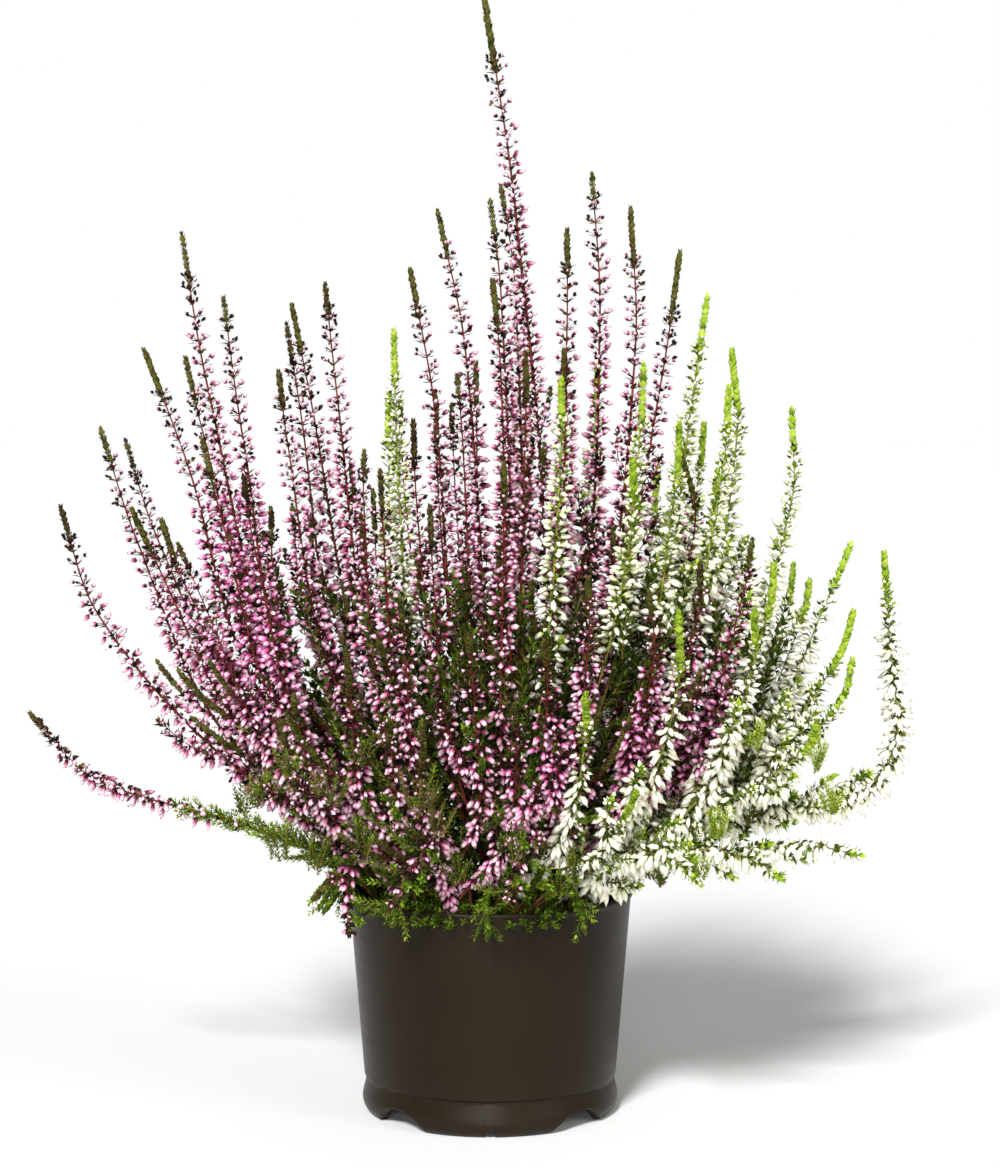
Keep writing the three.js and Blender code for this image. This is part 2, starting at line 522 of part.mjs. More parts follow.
// A spike as one closed surface of three-sided rings. Wide rings, at the tips of a whorl
// of buds, and narrow ones take turns, each turned a sixth round from the last of its kind.
function spikeSolid(spike) {
  const { points, half } = spike;
  const last = points.length - 1, total = last * STEP;
  const at = (s) => {
    const f = clamp(s / STEP, 0, last), k = Math.min(last - 1, Math.floor(f)), t = f - k;
    return points[k].map((v, c) => v + t * (points[k + 1][c] - v));
  };
  const width = (s) => {
    const f = clamp(s / STEP, 0, last), k = Math.min(last - 1, Math.floor(f));
    return Math.min(half[k], half[k + 1]);
  };
  const pitch = PITCH[spike.colour];
  const bud = Math.max(4, points.findIndex((p, k) => half[k] > 1.6 && k > 3));
  const bare = bud * STEP + spike.phase * 0.5 * pitch;
  const rings = [[0, width(0), 0]];
  // Along the bare stem a ring only where the course bends or another branch leaves it.
  const stops = [0, ...(spike.foot ? [UPRIGHT] : []), ...spike.forks, bud].sort((a, b) => a - b);
  const bends = (from, to) => {
    const [a, b] = [points[from], points[to]].map((p) => new THREE.Vector3(...p));
    const line = new THREE.Line3(a, b), near = new THREE.Vector3();
    let most = BEND, split = -1;
    for (let k = from + 1; k < to; k++) {
      const p = new THREE.Vector3(...points[k]);
      const off = line.closestPointToPoint(p, true, near).distanceTo(p);
      if (off > most) [most, split] = [off, k];
    }
    return split < 0 ? [] : [...bends(from, split), split, ...bends(split, to)];
  };
  stops.forEach((from, n) => {
    const half = (k) => (k <= UPRIGHT ? FOOT : STEM * 1.15);
    if (n && from > stops[n - 1] && from < bud) rings.push([from * STEP, half(from), 0]);
    if (n + 1 < stops.length && stops[n + 1] > from + 1)
      for (const k of bends(from, stops[n + 1])) rings.push([k * STEP, half(k), 0]);
  });
  const whorls = Math.max(1, Math.round((total - bare - 5) / pitch));
  const real = (total - bare - 5) / whorls;
  for (let n = 0; n < whorls; n++) {
    const s = bare + n * real;
    const turn = n % 2 ? 0 : Math.PI / 3;
    rings.push([s, Math.min(CORE, width(s)), turn + Math.PI / 3]);
    rings.push([s + 0.58 * real, Math.max(width(s + 0.58 * real), 1.1), turn]);
  }
  // Frames carried along the course without twist
  const verts = [], faces = [];
  let side = new THREE.Vector3(1, 0, 0);
  rings.forEach(([s, r, turn]) => {
    const c = new THREE.Vector3(...at(s));
    const dir = new THREE.Vector3(...at(s + 3)).sub(new THREE.Vector3(...at(s - 3))).normalize();
    side = side.sub(dir.clone().multiplyScalar(side.dot(dir))).normalize();
    const up = new THREE.Vector3().crossVectors(dir, side);
    for (let v = 0; v < 3; v++) {
      const a = turn + (2 * Math.PI * v) / 3;
      const p = c.clone().addScaledVector(side, r * Math.cos(a)).addScaledVector(up, r * Math.sin(a));
      verts.push(p, a);
    }
  });
  // Between two rings, each corner of one is joined to the nearest two of the other.
  const angle = (n) => verts[2 * n + 1];
  for (let k = 0; k + 1 < rings.length; k++) {
    const a = 3 * k, b = 3 * k + 3;
    const step = Math.round(((angle(b) - angle(a)) / (Math.PI / 3)) % 6);
    const off = ((step % 6) + 6) % 6;
    for (let v = 0; v < 3; v++) {
      const a0 = a + v, a1 = a + ((v + 1) % 3);
      if (off % 2 === 0) {
        const w = (3 - off / 2 + v) % 3, b0 = b + w, b1 = b + ((w + 1) % 3);
        faces.push(a0, a1, b1, a0, b1, b0);
      } else {
        // a corner of the upper ring lies between two of the lower one
        const w = (3 + v - (off - 1) / 2) % 3, b0 = b + w, b1 = b + ((w + 1) % 3);
        faces.push(a0, a1, b0, a1, b1, b0);
      }
    }
  }
  const n = verts.length / 2, top = new THREE.Vector3(...at(total));
  faces.push(0, 2, 1, n - 3, n - 2, n, n - 2, n - 1, n, n - 1, n - 3, n);
  const flat = [];
  for (let k = 0; k < n; k++) flat.push(...verts[2 * k].toArray());
  flat.push(...top.toArray());
  return new wasm.Manifold(
    new wasm.Mesh({ numProp: 3, vertProperties: new Float32Array(flat), triVerts: new Uint32Array(faces) }),
  );
}

// The plant

const group = new THREE.Group();
const put = (name, geometry, kind) => {
  const [color, roughness] = COLOURS[kind];
  const material = new THREE.MeshStandardMaterial({ color, roughness, metalness: 0 });
  const mesh = new THREE.Mesh(geometry.translate(AXIS.x, AXIS.y, 0), material);
  mesh.name = name;
  group.add(mesh);
};

const spikes = branches();
parted(spikes);
put("pot", pot(), "pot");
put("soil", soil(spikes.filter((s) => s.foot).map((s) => [...s.foot, FOOT])), "soil");
const nodes = new Map();
for (const s of spikes) {
  const body = spikeSolid(s);
  const before = nodes.get(s.node);
  nodes.set(s.node, before ? { ...before, body: before.body.add(body) } : { body, colour: s.colour });
}
for (const [name, { body, colour }] of nodes) put(name, geometryOf(body), colour);

export default group;
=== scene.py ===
"""The dressed potted heather: flower spikes with their buds and scale leaves, leafy shoots,
the round nursery pot and the peat in it, on a pale floor in soft light.

Lengths are worked out in millimetres from the pot's axis, at the level it stands on (+Z up,
-Y to the front), then moved by AXIS into the frame of the solids and written in metres.
"""

import json
import math

import bpy
import numpy as np
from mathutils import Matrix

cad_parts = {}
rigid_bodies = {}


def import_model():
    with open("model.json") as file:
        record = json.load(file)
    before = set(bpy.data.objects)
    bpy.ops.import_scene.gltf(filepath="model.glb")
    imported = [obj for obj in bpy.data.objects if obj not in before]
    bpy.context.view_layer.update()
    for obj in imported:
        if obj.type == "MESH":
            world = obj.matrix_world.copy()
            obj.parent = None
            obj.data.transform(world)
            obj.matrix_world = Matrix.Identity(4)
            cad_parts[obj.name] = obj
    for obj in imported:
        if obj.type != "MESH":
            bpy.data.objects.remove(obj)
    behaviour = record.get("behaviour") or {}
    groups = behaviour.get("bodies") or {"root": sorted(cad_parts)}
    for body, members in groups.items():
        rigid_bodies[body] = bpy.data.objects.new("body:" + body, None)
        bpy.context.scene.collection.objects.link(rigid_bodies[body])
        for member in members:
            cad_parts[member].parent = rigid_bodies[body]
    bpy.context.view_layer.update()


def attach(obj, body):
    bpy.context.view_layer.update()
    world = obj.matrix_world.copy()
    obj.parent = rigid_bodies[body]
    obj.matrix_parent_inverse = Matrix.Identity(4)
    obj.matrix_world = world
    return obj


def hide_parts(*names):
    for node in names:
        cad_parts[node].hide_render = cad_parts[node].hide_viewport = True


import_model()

MM = 0.001
AXIS = np.array([7.7, -9.8, 0.0])  # where the pot's axis stands in the frame, in millimetres
UP = np.array([0.0, 0.0, 1.0])
TO_FRONT = np.array([0.0, -1.0, 0.0])
SOIL_TOP = 72.0

# The branches: how their courses are laid out, as in the solids
EYE = (3.7, -955.0, 251.0)  # where the sprays' points were looked at from
STEP = 4.0  # between two points of a course
FINE = 16  # parts in which the curve between two given points is worked out
STEM = 1.0  # half thickness of a bare stem
WOODY = 1.5  # half thickness of a foot
SCALES = 1.9  # half thickness of the leafy end of a spike
BUD = {"pink": 5.2, "white": 6.0, "leafy": 2.6}  # half thickness where buds or leaves are full
TIP_LENGTH = 20
GAP = 1.5  # kept between two branches
FOOT_ROOM = 6.6  # from one foot to the next, which they are pushed to in FOOT_STEPS steps
FOOT_STEPS = 60
FOOT_REACH = 37  # from the axis to the farthest foot of an upright spray
UPRIGHT = 4  # steps that a foot rises straight
FLOWERS_FROM = 104  # height under which a spike has no buds

# Moving the branches apart: rounds, steps in a round, the share of a push and of a kink that a
# step takes up, how near in x two points are looked at, the height under which the spikes of one
# spray may touch, and the points over which a fork is drawn to its parent
ROUNDS, STEPS, EASE, EVEN = 4, 40, 0.7, 0.22
NEAR, KIN_HEIGHT, FORK_RUN = 15, 112, 4

# A spray is one foot with one or two spikes: tip (x, z), a point half way (x, z), a low
# point (x, z) and the depth of the tip behind the pot's axis.
SPRAYS = [
    ("pink_left_tall", "pink", [-112, 320, -103, 265, -78, 165, 20], [-111, 275, -104, 245, -82, 165, 42]),
    ("pink_left_second", "pink", [-97, 297, -90, 245, -74, 160, 0], [-105, 245, -99, 220, -76, 140, -24]),
    ("pink_left_bent", "pink", [-126, 278, -110, 235, -86, 155, 5], [-120, 216, -113, 195, -84, 140, -14]),
    ("pink_left_outer", "pink", [-142, 249, -129, 208, -98, 138, 12], [-133, 245, -122, 210, -90, 142, 32]),
    ("pink_left_front", "pink", [-131, 220, -122, 200, -92, 140, -8], [-114, 207, -106, 188, -80, 130, -32]),
    ("pink_left_arch", "pink", [-157, 221, -144, 182, -104, 134, 2]),
    ("pink_left_low", "pink", [-169, 145, -146, 121, -90, 103, 8]),
    ("pink_left_inner", "pink", [-80, 220, -79, 195, -66, 130, -48], [-90, 232, -86, 205, -68, 135, -70]),
    ("pink_pair_left", "pink", [-77, 270, -74, 245, -60, 165, -16], [-74, 287, -69, 255, -56, 165, 16]),
    ("pink_pair_right", "pink", [-72, 294, -65, 258, -48, 165, 38], [-60, 302, -55, 255, -44, 165, 8]),
    ("pink_mid_low", "pink", [-46, 241, -46, 220, -40, 150, -34], [-40, 234, -39, 212, -34, 150, -56]),
    ("pink_mid_first", "pink", [-29, 307, -20, 255, -14, 170, 0], [-28, 252, -27, 225, -20, 150, -26]),
    ("pink_mid_second", "pink", [-19, 328, -9, 278, -2, 170, 22], [-14, 258, -13, 232, -8, 160, 48]),
    ("white_left", "white", [-35, 285, -34, 245, -28, 160, 16], [-37, 262, -37, 240, -34, 165, 34]),
    ("pink_mid_third", "pink", [-12, 269, -10, 245, -6, 160, -12], [-22, 221, -21, 198, -16, 140, -48]),
    ("pink_centre_left", "pink", [0, 332, 4, 298, 8, 180, 6], [1, 303, 4, 268, 6, 165, -18]),
    ("pink_tallest", "pink", [-2, 404, 9, 330, 20, 190, 20], [4, 337, 9, 302, 12, 190, 44]),
    ("pink_centre_low", "pink", [13, 276, 13, 252, 10, 160, -30], [5, 236, 5, 214, 4, 150, -56]),
    ("pink_dense", "pink", [28, 321, 28, 285, 24, 170, -2], [27, 277, 28, 252, 22, 160, -24]),
    ("pink_right_tall", "pink", [37, 341, 40, 290, 34, 180, 26], [51, 329, 53, 280, 42, 180, 8]),
    ("pink_right_outer", "pink", [69, 313, 63, 270, 46, 180, 22], [69, 243, 75, 215, 60, 150, -12]),
    ("white_centre", "white", [26, 267, 26, 242, 20, 160, -44], [52, 238, 52, 214, 38, 150, -46]),
    ("white_right_first", "white", [56, 272, 55, 250, 46, 165, -14], [69, 251, 68, 230, 54, 150, -32]),
    ("white_right_tall", "white", [79, 297, 74, 262, 60, 170, 26], [78, 251, 76, 230, 62, 160, 44]),
    ("white_right_second", "white", [88, 278, 90, 245, 74, 160, 6], [87, 264, 85, 235, 68, 155, -20]),
    ("white_right_third", "white", [110, 256, 110, 222, 86, 150, 2], [104, 200, 102, 182, 80, 130, -24]),
    ("pink_right_inner", "pink", [96, 209, 93, 190, 74, 130, -40], [77, 200, 76, 180, 60, 125, -58]),
    ("white_right_back", "white", [111, 200, 109, 186, 84, 130, 24], [117, 194, 114, 178, 88, 125, 42]),
    ("white_right_outer", "white", [132, 207, 125, 190, 96, 130, 42], [133, 182, 128, 166, 100, 126, -18]),
    ("white_right_front", "white", [97, 183, 96, 160, 76, 112, -56], [69, 182, 69, 155, 56, 112, -72]),
    ("white_right_low", "white", [133, 165, 129, 150, 100, 118, -28], [120, 142, 117, 132, 90, 113, -48]),
    ("pink_front_left", "pink", [-52, 162, -51, 145, -44, 108, -74], [-72, 152, -70, 136, -56, 104, -60]),
    ("pink_front_mid", "pink", [-33, 187, -31, 165, -26, 112, -70], [-8, 174, -6, 152, -4, 108, -72]),
    ("pink_front_centre", "pink", [9, 148, 10, 135, 8, 104, -84], [20, 172, 21, 150, 16, 108, -70]),
    ("pink_front_right", "pink", [36, 195, 36, 170, 28, 112, -64], [58, 190, 60, 165, 46, 110, -62]),
    ("pink_front_short", "pink", [-24, 133, -26, 118, -22, 96, -84], [-37, 142, -36, 128, -30, 98, -76]),
    ("white_front", "white", [35, 152, 35, 135, 28, 102, -80], [54, 116, 48, 103, 40, 92, -74]),
]
# Heights from which other sprays flower
LOWER = {
    "pink_left_low": 92,
    "white_right_low": 92,
    "white_right_front": 92,
    "white_right_outer": 94,
    "white_right_third": 96,
}
# The loose fan at the back: across and stray set x, the next four the height, near and far y
BACK = {
    "seed": 20251, "sprays": 9, "each": 2, "pink": 5, "across": 104, "stray": 8,
    "tallest": 292, "fall": 0.0068, "drop": 74, "second": 26, "near": 58, "far": 104,
}

# Sprays that lie low or hang over the rim: node, colour, foot, whether it stays put, the
# height from which it flowers, and each spike's points above the foot.
LOW = [
    ("white_arch", "white", (28, 4), False, 100, [
        [(58, 6, 96), (100, 7, 109), (134, 7, 115), (149, 6, 134), (147, 5, 165), (144, 5, 205)]]),
    ("white_low_right", "white", (36, -8), False, 92, [
        [(60, -20, 91), (90, -28, 94), (116, -31, 97), (137, -29, 93)],
        [(64, 20, 98), (88, 30, 106), (110, 32, 112), (127, 32, 123)]]),
    ("white_low_front", "white", (30, -25), True, 88, [
        [(50, -41, 97), (70, -52, 104), (88, -57, 102), (102, -58, 94)],
        [(42, -45, 97), (54, -60, 104), (64, -69, 102), (72, -73, 95)]]),
    ("pink_over_rim", "pink", (-13, -36), True, 88, [
        [(-17, -47, 98), (-19, -58, 107), (-27, -66, 99), (-34, -71, 86)],
        [(2, -49, 99), (13, -59, 110), (11, -68, 102), (6, -74, 89)]]),
    ("pink_left_rim", "pink", (-32, -20), True, 88, [
        [(-39, -29, 97), (-46, -36, 101), (-50, -40, 91), (-49.5, -41, 71)]]),
]
# Leafy shoots over the rim: bearings in degrees, one list a spray, from feet on one circle
FRINGE_SEED = 4127
FRINGE_FOOT = 42.5
FRINGE_FROM = 79
FRINGE = [
    [-74, -66, -82, -58, -90.5],
    [-128, -121],
    [-166, -158, -173],
    [162, 153, 169],
    [128, 116, 140, 104],
    [80, 68, 92, 56],
    [38, 48, 31],
]


def smooth(a, b, v):
    """0 below a, 1 above b, and 3t^2 - 2t^3 between them."""
    t = np.clip((np.asarray(v, float) - a) / (b - a), 0.0, 1.0)
    return t * t * (3 - 2 * t)


def unit(v):
    """Each vector divided by its length."""
    return v / np.maximum(np.linalg.norm(v, axis=-1, keepdims=True), 1e-9)


# Layout of the branches


def drawn(seed):
    """Numbers between 0 and 1 that are the same each time: a counter of 32 bits, mixed by shifts
    and products."""
    word = 0xFFFFFFFF
    state = seed & word

    def draw():
        """The next number."""
        nonlocal state
        state = (state + 0x6D2B79F5) & word
        t = ((state ^ (state >> 15)) * (state | 1)) & word
        t ^= (t + (((t ^ (t >> 7)) * (t | 61)) & word)) & word
        return (t ^ (t >> 14)) / (word + 1)

    return draw


def course(points):
    """Points every STEP along a cubic through the given ones, whose slope at each is that of the
    chord between its two neighbours."""
    p = np.array(points, float)
    chord = np.concatenate([[0.0], np.cumsum(np.linalg.norm(np.diff(p, axis=0), axis=1))])
    n = len(p)
    a, b = np.maximum(np.arange(n) - 1, 0), np.minimum(np.arange(n) + 1, n - 1)
    slope = (p[b] - p[a]) / (chord[b] - chord[a])[:, None]
    t = (np.arange(FINE + 1) / FINE)[None, :, None]
    h = np.diff(chord)[:, None, None]
    fine = (
        (2 * t**3 - 3 * t**2 + 1) * p[:-1, None]
        + (t**3 - 2 * t**2 + t) * h * slope[:-1, None]
        + (3 * t**2 - 2 * t**3) * p[1:, None]
        + (t**3 - t**2) * h * slope[1:, None]
    )
    fine = np.concatenate([fine[0], fine[1:, 1:].reshape(-1, p.shape[1])]) if n > 2 else fine[0]
    run = np.concatenate([[0.0], np.cumsum(np.linalg.norm(np.diff(fine, axis=0), axis=1))])
    count = int(math.floor(run[-1] / STEP + 0.5))
    s = run[-1] * np.arange(count + 1) / count
    return np.stack([np.interp(s, run, fine[:, c]) for c in range(p.shape[1])], axis=1)


def branches():
    """Every spike with its node, colour and course. An upright one's points are where it shows
    from EYE, and its depths grow evenly to that of its tip. Feet and low sprays are in space.
    The second spike of a spray leaves the first a few steps above its foot."""
    draw = drawn(BACK["seed"])
    sprays = [(node, colour, list(spikes)) for node, colour, *spikes in SPRAYS]
    for k in range(BACK["sprays"]):
        spikes = []
        for n in range(BACK["each"]):
            share = (k + (n + 0.5) / BACK["each"]) / BACK["sprays"]
            x = BACK["across"] * (2 * share - 1) + BACK["stray"] * (draw() - 0.5)
            top = BACK["tallest"] - BACK["fall"] * x * x - BACK["drop"] * draw() - n * BACK["second"]
            d = BACK["near"] + (BACK["far"] - BACK["near"]) * draw()
            spikes.append([x, top, 0.93 * x, top - 42, 0.66 * x, top - 0.62 * (top - 96), d])
        sprays.append((f"back_{k + 1}", "pink" if k < BACK["pink"] else "white", spikes))
    # The feet: under the low points of their spikes, and pushed apart until each has its room
    roots = []
    for _, _, spikes in sprays:
        x, y = 0.3 * spikes[0][4], 0.44 * spikes[0][6]
        r = math.hypot(x, y)
        k = FOOT_REACH / r if r > FOOT_REACH else 1
        roots.append([x * k, y * k])
    roots += [[float(c) for c in low[2]] for low in LOW]
    for _ in range(FOOT_STEPS):
        for a in range(len(roots)):
            for b in range(a + 1, len(roots)):
                dx, dy = roots[b][0] - roots[a][0], roots[b][1] - roots[a][1]
                d = math.hypot(dx, dy) or 1
                if d >= FOOT_ROOM:
                    continue
                push = (FOOT_ROOM - d) / 2 / d
                roots[a] = [roots[a][0] - dx * push, roots[a][1] - dy * push]
                roots[b] = [roots[b][0] + dx * push, roots[b][1] + dy * push]
    spikes = []

    def add(node, colour, points, fixed=False, flowers=None, foot=None, parent=None, on=0):
        """One more spike. Its number is what a fork on it needs."""
        if flowers is None:
            flowers = LOWER.get(node, FLOWERS_FROM)
        spikes.append(dict(node=node, colour=colour, seen=course(points), fixed=fixed, foot=foot,
                           flowers=flowers, phase=draw(), parent=parent, on=on))
        return len(spikes) - 1

    def below(foot):
        """A foot's lower end in the peat and the point where it stops rising straight."""
        deep = SOIL_TOP - 10
        return [[foot[0], foot[1], deep], [foot[0], foot[1], deep + STEP * UPRIGHT]]

    for m, (node, colour, listed) in enumerate(sprays):
        first = -1
        for n, (tx, tz, mx, mz, lx, lz, d) in enumerate(listed):
            upper = [[lx, 0.64 * d, lz + 1], [mx, 0.84 * d, mz + 1], [tx, d, tz + 1]]
            if n == 0:
                first = add(node, colour, below(roots[m]) + upper, foot=roots[m])
            else:
                on = 6 + (n % 2) + (1 if abs(lx) > 60 else 0)
                start = list(spikes[first]["seen"][on])
                add(node, colour, [start] + upper, parent=first, on=on)
    for m, (node, colour, _, fixed, flowers, courses) in enumerate(LOW):
        foot = roots[len(sprays) + m]
        first = -1
        for n, points in enumerate(courses):
            points = [list(p) for p in points]
            if n == 0:
                first = add(node, colour, below(foot) + points, fixed, flowers, foot)
            else:
                start = list(spikes[first]["seen"][5])
                add(node, colour, [start] + points, fixed, flowers, None, first, 5)
    turn = drawn(FRINGE_SEED)
    for k, bearings in enumerate(FRINGE):
        mid = math.radians(bearings[0])
        foot = [FRINGE_FOOT * math.cos(mid), FRINGE_FOOT * math.sin(mid)]
        first = -1
        for n, bearing in enumerate(bearings):
            a = math.radians(bearing)
            out, up = turn(), turn()
            ends = [(53.5, 88 + 3 * up)]
            ends.append((62 + 5 * out, 74 + 5 * out) if up < 0.6 else (64 + 5 * out, 95 + 6 * out))
            ends = [[r * math.cos(a), r * math.sin(a), z] for r, z in ends]
            name = f"fringe_{k + 1}"
            if n == 0:
                first = add(name, "leafy", below(foot) + ends, True, FRINGE_FROM, foot)
            else:
                start = list(spikes[first]["seen"][4])
                add(name, "leafy", [start] + ends, True, FRINGE_FROM, None, first, 4)
    return spikes


def fullness(spike):
    """Half thickness along a spike: leafy tip, buds that grow downwards, bare stem below."""
    z = spike["seen"][:, 2]
    u = (len(z) - 1 - np.arange(len(z))) * STEP
    kind, flowers = spike["colour"], spike["flowers"]
    if kind == "leafy":
        return np.maximum(STEM, BUD[kind] * smooth(0, 9, u) * smooth(flowers, flowers + 8, z))
    below = u - TIP_LENGTH
    buds = (BUD[kind] - SCALES) * (0.45 * smooth(-4, 6, below) + 0.55 * smooth(4, 75, below))
    full = (SCALES * smooth(-2, 9, u) + buds) * smooth(flowers - 10, flowers + 10, z)
    return np.maximum(np.where(z < SOIL_TOP + 4, WOODY, STEM), full)


def part(spikes):
    """Moves the branches apart along the line of sight, step by step, until none crosses another,
    as in the solids. Each spike then holds its points in space."""
    for s in spikes:
        s["half"] = fullness(s)
    size = [len(s["seen"]) for s in spikes]
    first = np.concatenate([[0], np.cumsum(size)[:-1]])
    owner = np.repeat(np.arange(len(spikes)), size)
    k_of = np.concatenate([np.arange(n) for n in size])
    seen = np.concatenate([s["seen"] for s in spikes])
    r = np.concatenate([s["half"] for s in spikes])
    held = np.array([s["fixed"] for s in spikes])[owner]
    names = {n: i for i, n in enumerate(dict.fromkeys(s["node"] for s in spikes))}
    node = np.array([names[s["node"]] for s in spikes])[owner]
    has_foot = np.array([s["foot"] is not None for s in spikes])[owner]
    rooted = has_foot & (k_of <= UPRIGHT)
    foot = np.array([s["foot"] or (0, 0) for s in spikes], float)[owner]
    last = k_of == np.array(size)[owner] - 1
    inner = ~last & (k_of > np.where(has_foot, UPRIGHT, 0)) & ~held
    forks = [(i, s["parent"], s["on"]) for i, s in enumerate(spikes) if s["parent"] is not None]
    free_forks = [f for f in forks if not spikes[f[0]]["fixed"]]
    y = seen[:, 1].copy()

    def real():
        """Each point at its depth y on the line from EYE through the point as seen, while feet
        and low sprays stay put."""
        k = (y - EYE[1]) / -EYE[1]
        x, z = EYE[0] + (seen[:, 0] - EYE[0]) * k, EYE[2] + (seen[:, 2] - EYE[2]) * k
        at = np.stack([x, y, z], axis=1)
        at[rooted] = np.column_stack([foot, seen[:, 2]])[rooted]
        at[held] = seen[held]
        return at

    def close_pairs(at):
        """All pairs of points whose x differ by less than NEAR, from a list sorted by x."""
        order = np.lexsort((np.arange(len(at)), at[:, 0]))
        x = at[order, 0]
        found = []
        for m in range(1, len(at)):
            ok = x[m:] - x[:-m] < NEAR
            if not ok.any():
                break
            found.append(np.stack([order[:-m][ok], order[m:][ok]], axis=1))
        both = np.concatenate(found)
        return both.min(1), both.max(1)

    low = seen[:, 2] < KIN_HEIGHT
    for _ in range(ROUNDS):
        at = real()
        a, b = close_pairs(at)
        kin = (node[a] == node[b]) & (low[a] | low[b])
        d = r[a] + r[b] + GAP
        flat = (at[a, 0] - at[b, 0]) ** 2 + (at[a, 2] - at[b, 2]) ** 2
        ok = (owner[a] != owner[b]) & ~kin & ~(held[a] & held[b]) & (flat < d * d)
        a, b, need = a[ok], b[ok], np.sqrt((d * d - flat)[ok])
        order = np.lexsort((b, a))
        a, b, need = a[order], b[order], need[order]
        _, pair = np.unique(owner[a] * 1000 + owner[b], return_inverse=True)
        side = np.where((1e-6 + np.bincount(pair, y[b] - y[a]))[pair] > 0, 1.0, -1.0)
        share = np.where(held[a] | held[b], 1.0, 0.5)
        for _ in range(STEPS):
            lack = need - side * (y[b] - y[a])
            on = lack > 0
            push = side * lack * share
            ma, mb = on & ~held[a], on & ~held[b]
            shift = np.bincount(b[mb], push[mb], len(y)) - np.bincount(a[ma], push[ma], len(y))
            hits = np.bincount(b[mb], minlength=len(y)) + np.bincount(a[ma], minlength=len(y))
            y += np.where(hits > 0, EASE * shift / np.maximum(hits, 1), 0)
            k = np.nonzero(inner)[0]
            y[k] += EVEN * (y[k - 1] + y[k + 1] - 2 * y[k])
            still = rooted & ~held
            y[still] = foot[still, 1]
            for i, p, fork in free_forks:
                lead = y[first[p] + fork] - y[first[i]]
                y[first[i] : first[i] + FORK_RUN] += lead * (1 - np.arange(FORK_RUN) / FORK_RUN)
    at = real()
    for i, p, fork in forks:
        lead = at[first[p] + fork] - at[first[i]]
        at[first[i] : first[i] + FORK_RUN] += lead * (1 - np.arange(FORK_RUN) / FORK_RUN)[:, None]
    for i, s in enumerate(spikes):
        s["points"] = at[first[i] : first[i] + size[i]]
    return spikes


# Curves through the courses


def carried(points):
    """Tangents along a course, and two side vectors that turn with it and never twist."""
    way = unit(np.gradient(points, axis=0))
    side = np.zeros_like(way)
    s = np.array([1.0, 0.0, 0.0]) if abs(way[0, 0]) < 0.8 else np.array([0.0, 1.0, 0.0])
    for k, t in enumerate(way):
        s = s - t * (s @ t)
        s = s / np.linalg.norm(s)
        side[k] = s
    return way, side, np.cross(way, side)


def along(spike, s):
    """Place, tangent and side vectors at the distances s up a spike."""
    f = np.clip(np.asarray(s, float) / spike["pace"], 0, len(spike["points"]) - 1)
    k = np.minimum(f.astype(int), len(spike["points"]) - 2)
    t = (f - k)[..., None]
    keys = ("points", "way", "side", "over")
    p, way, side, over = (spike[key][k] * (1 - t) + spike[key][k + 1] * t for key in keys)
    return p, unit(way), unit(side), unit(over)


# Small shapes that are repeated


def bud_shape(rings, sides=4):
    """A closed bud along +Z from 0 to 1, 1 wide: a ring of points for each (height, radius), and
    a point at either end."""
    a = 2 * np.pi * np.arange(sides) / sides
    verts = [(0.0, 0.0, 0.0)]
    for z, r in rings:
        verts += list(zip(r * np.cos(a), r * np.sin(a), np.full(sides, z)))
    verts.append((0.0, 0.0, 1.0))
    top = len(verts) - 1
    faces = []
    for k in range(sides):
        n = (k + 1) % sides
        faces.append((0, 1 + n, 1 + k))
        for ring in range(len(rings) - 1):
            p, q = 1 + ring * sides, 1 + (ring + 1) * sides
            faces += [(p + k, p + n, q + n), (p + k, q + n, q + k)]
        p = 1 + (len(rings) - 1) * sides
        faces.append((p + k, p + n, top))
    return np.array(verts), np.array(faces)


def leaf_shape():
    """A keeled scale leaf along +Z from 0 to 1: four points, the two at its sides behind the
    keel."""
    verts = np.array([(0, 0, 0), (-0.5, -0.2, 0.42), (0.5, -0.2, 0.42), (0, 0.02, 1.0)], float)
    return verts, np.array([(0, 1, 2), (1, 3, 2), (0, 3, 1), (0, 2, 3)])


def stalk_shape():
    """A thin three-sided stalk along +Z from 0 to 1, pointed at its far end."""
    a = 2 * np.pi * np.arange(3) / 3
    verts = [(0.5 * c, 0.5 * s, 0.0) for c, s in zip(np.cos(a), np.sin(a))] + [(0, 0, 1.0)]
    return np.array(verts), np.array([(0, 2, 1), (0, 1, 3), (1, 2, 3), (2, 0, 3)])


def facing_out(verts, faces):
    """The same faces, each turned so that it looks away from the middle of the shape."""
    c = verts.mean(0)
    a, b, d = (verts[faces[:, k]] for k in range(3))
    inward = np.einsum("ij,ij->i", np.cross(b - a, d - a), (a + b + d) / 3 - c) < 0
    faces = faces.copy()
    faces[inward] = faces[inward][:, ::-1]
    return verts, faces


# The buds' rings, as (height, radius)
BUD_SHAPES = {
    "pink": facing_out(*bud_shape([(0.22, 0.47), (0.66, 0.45)])),
    "white": facing_out(*bud_shape([(0.2, 0.42), (0.62, 0.47)])),
    "young": facing_out(*bud_shape([(0.42, 0.56)])),
}
LEAF_SHAPE = facing_out(*leaf_shape())
STALK_SHAPE = facing_out(*stalk_shape())

FLOWER, LEAF, WOOD = 0, 1, 2  # the places of a piece's materials
TALL = 320  # the length of a spike past which its end is stout and brighter
HANGS = 40  # a spike whose buds go lower than this hangs over the rim


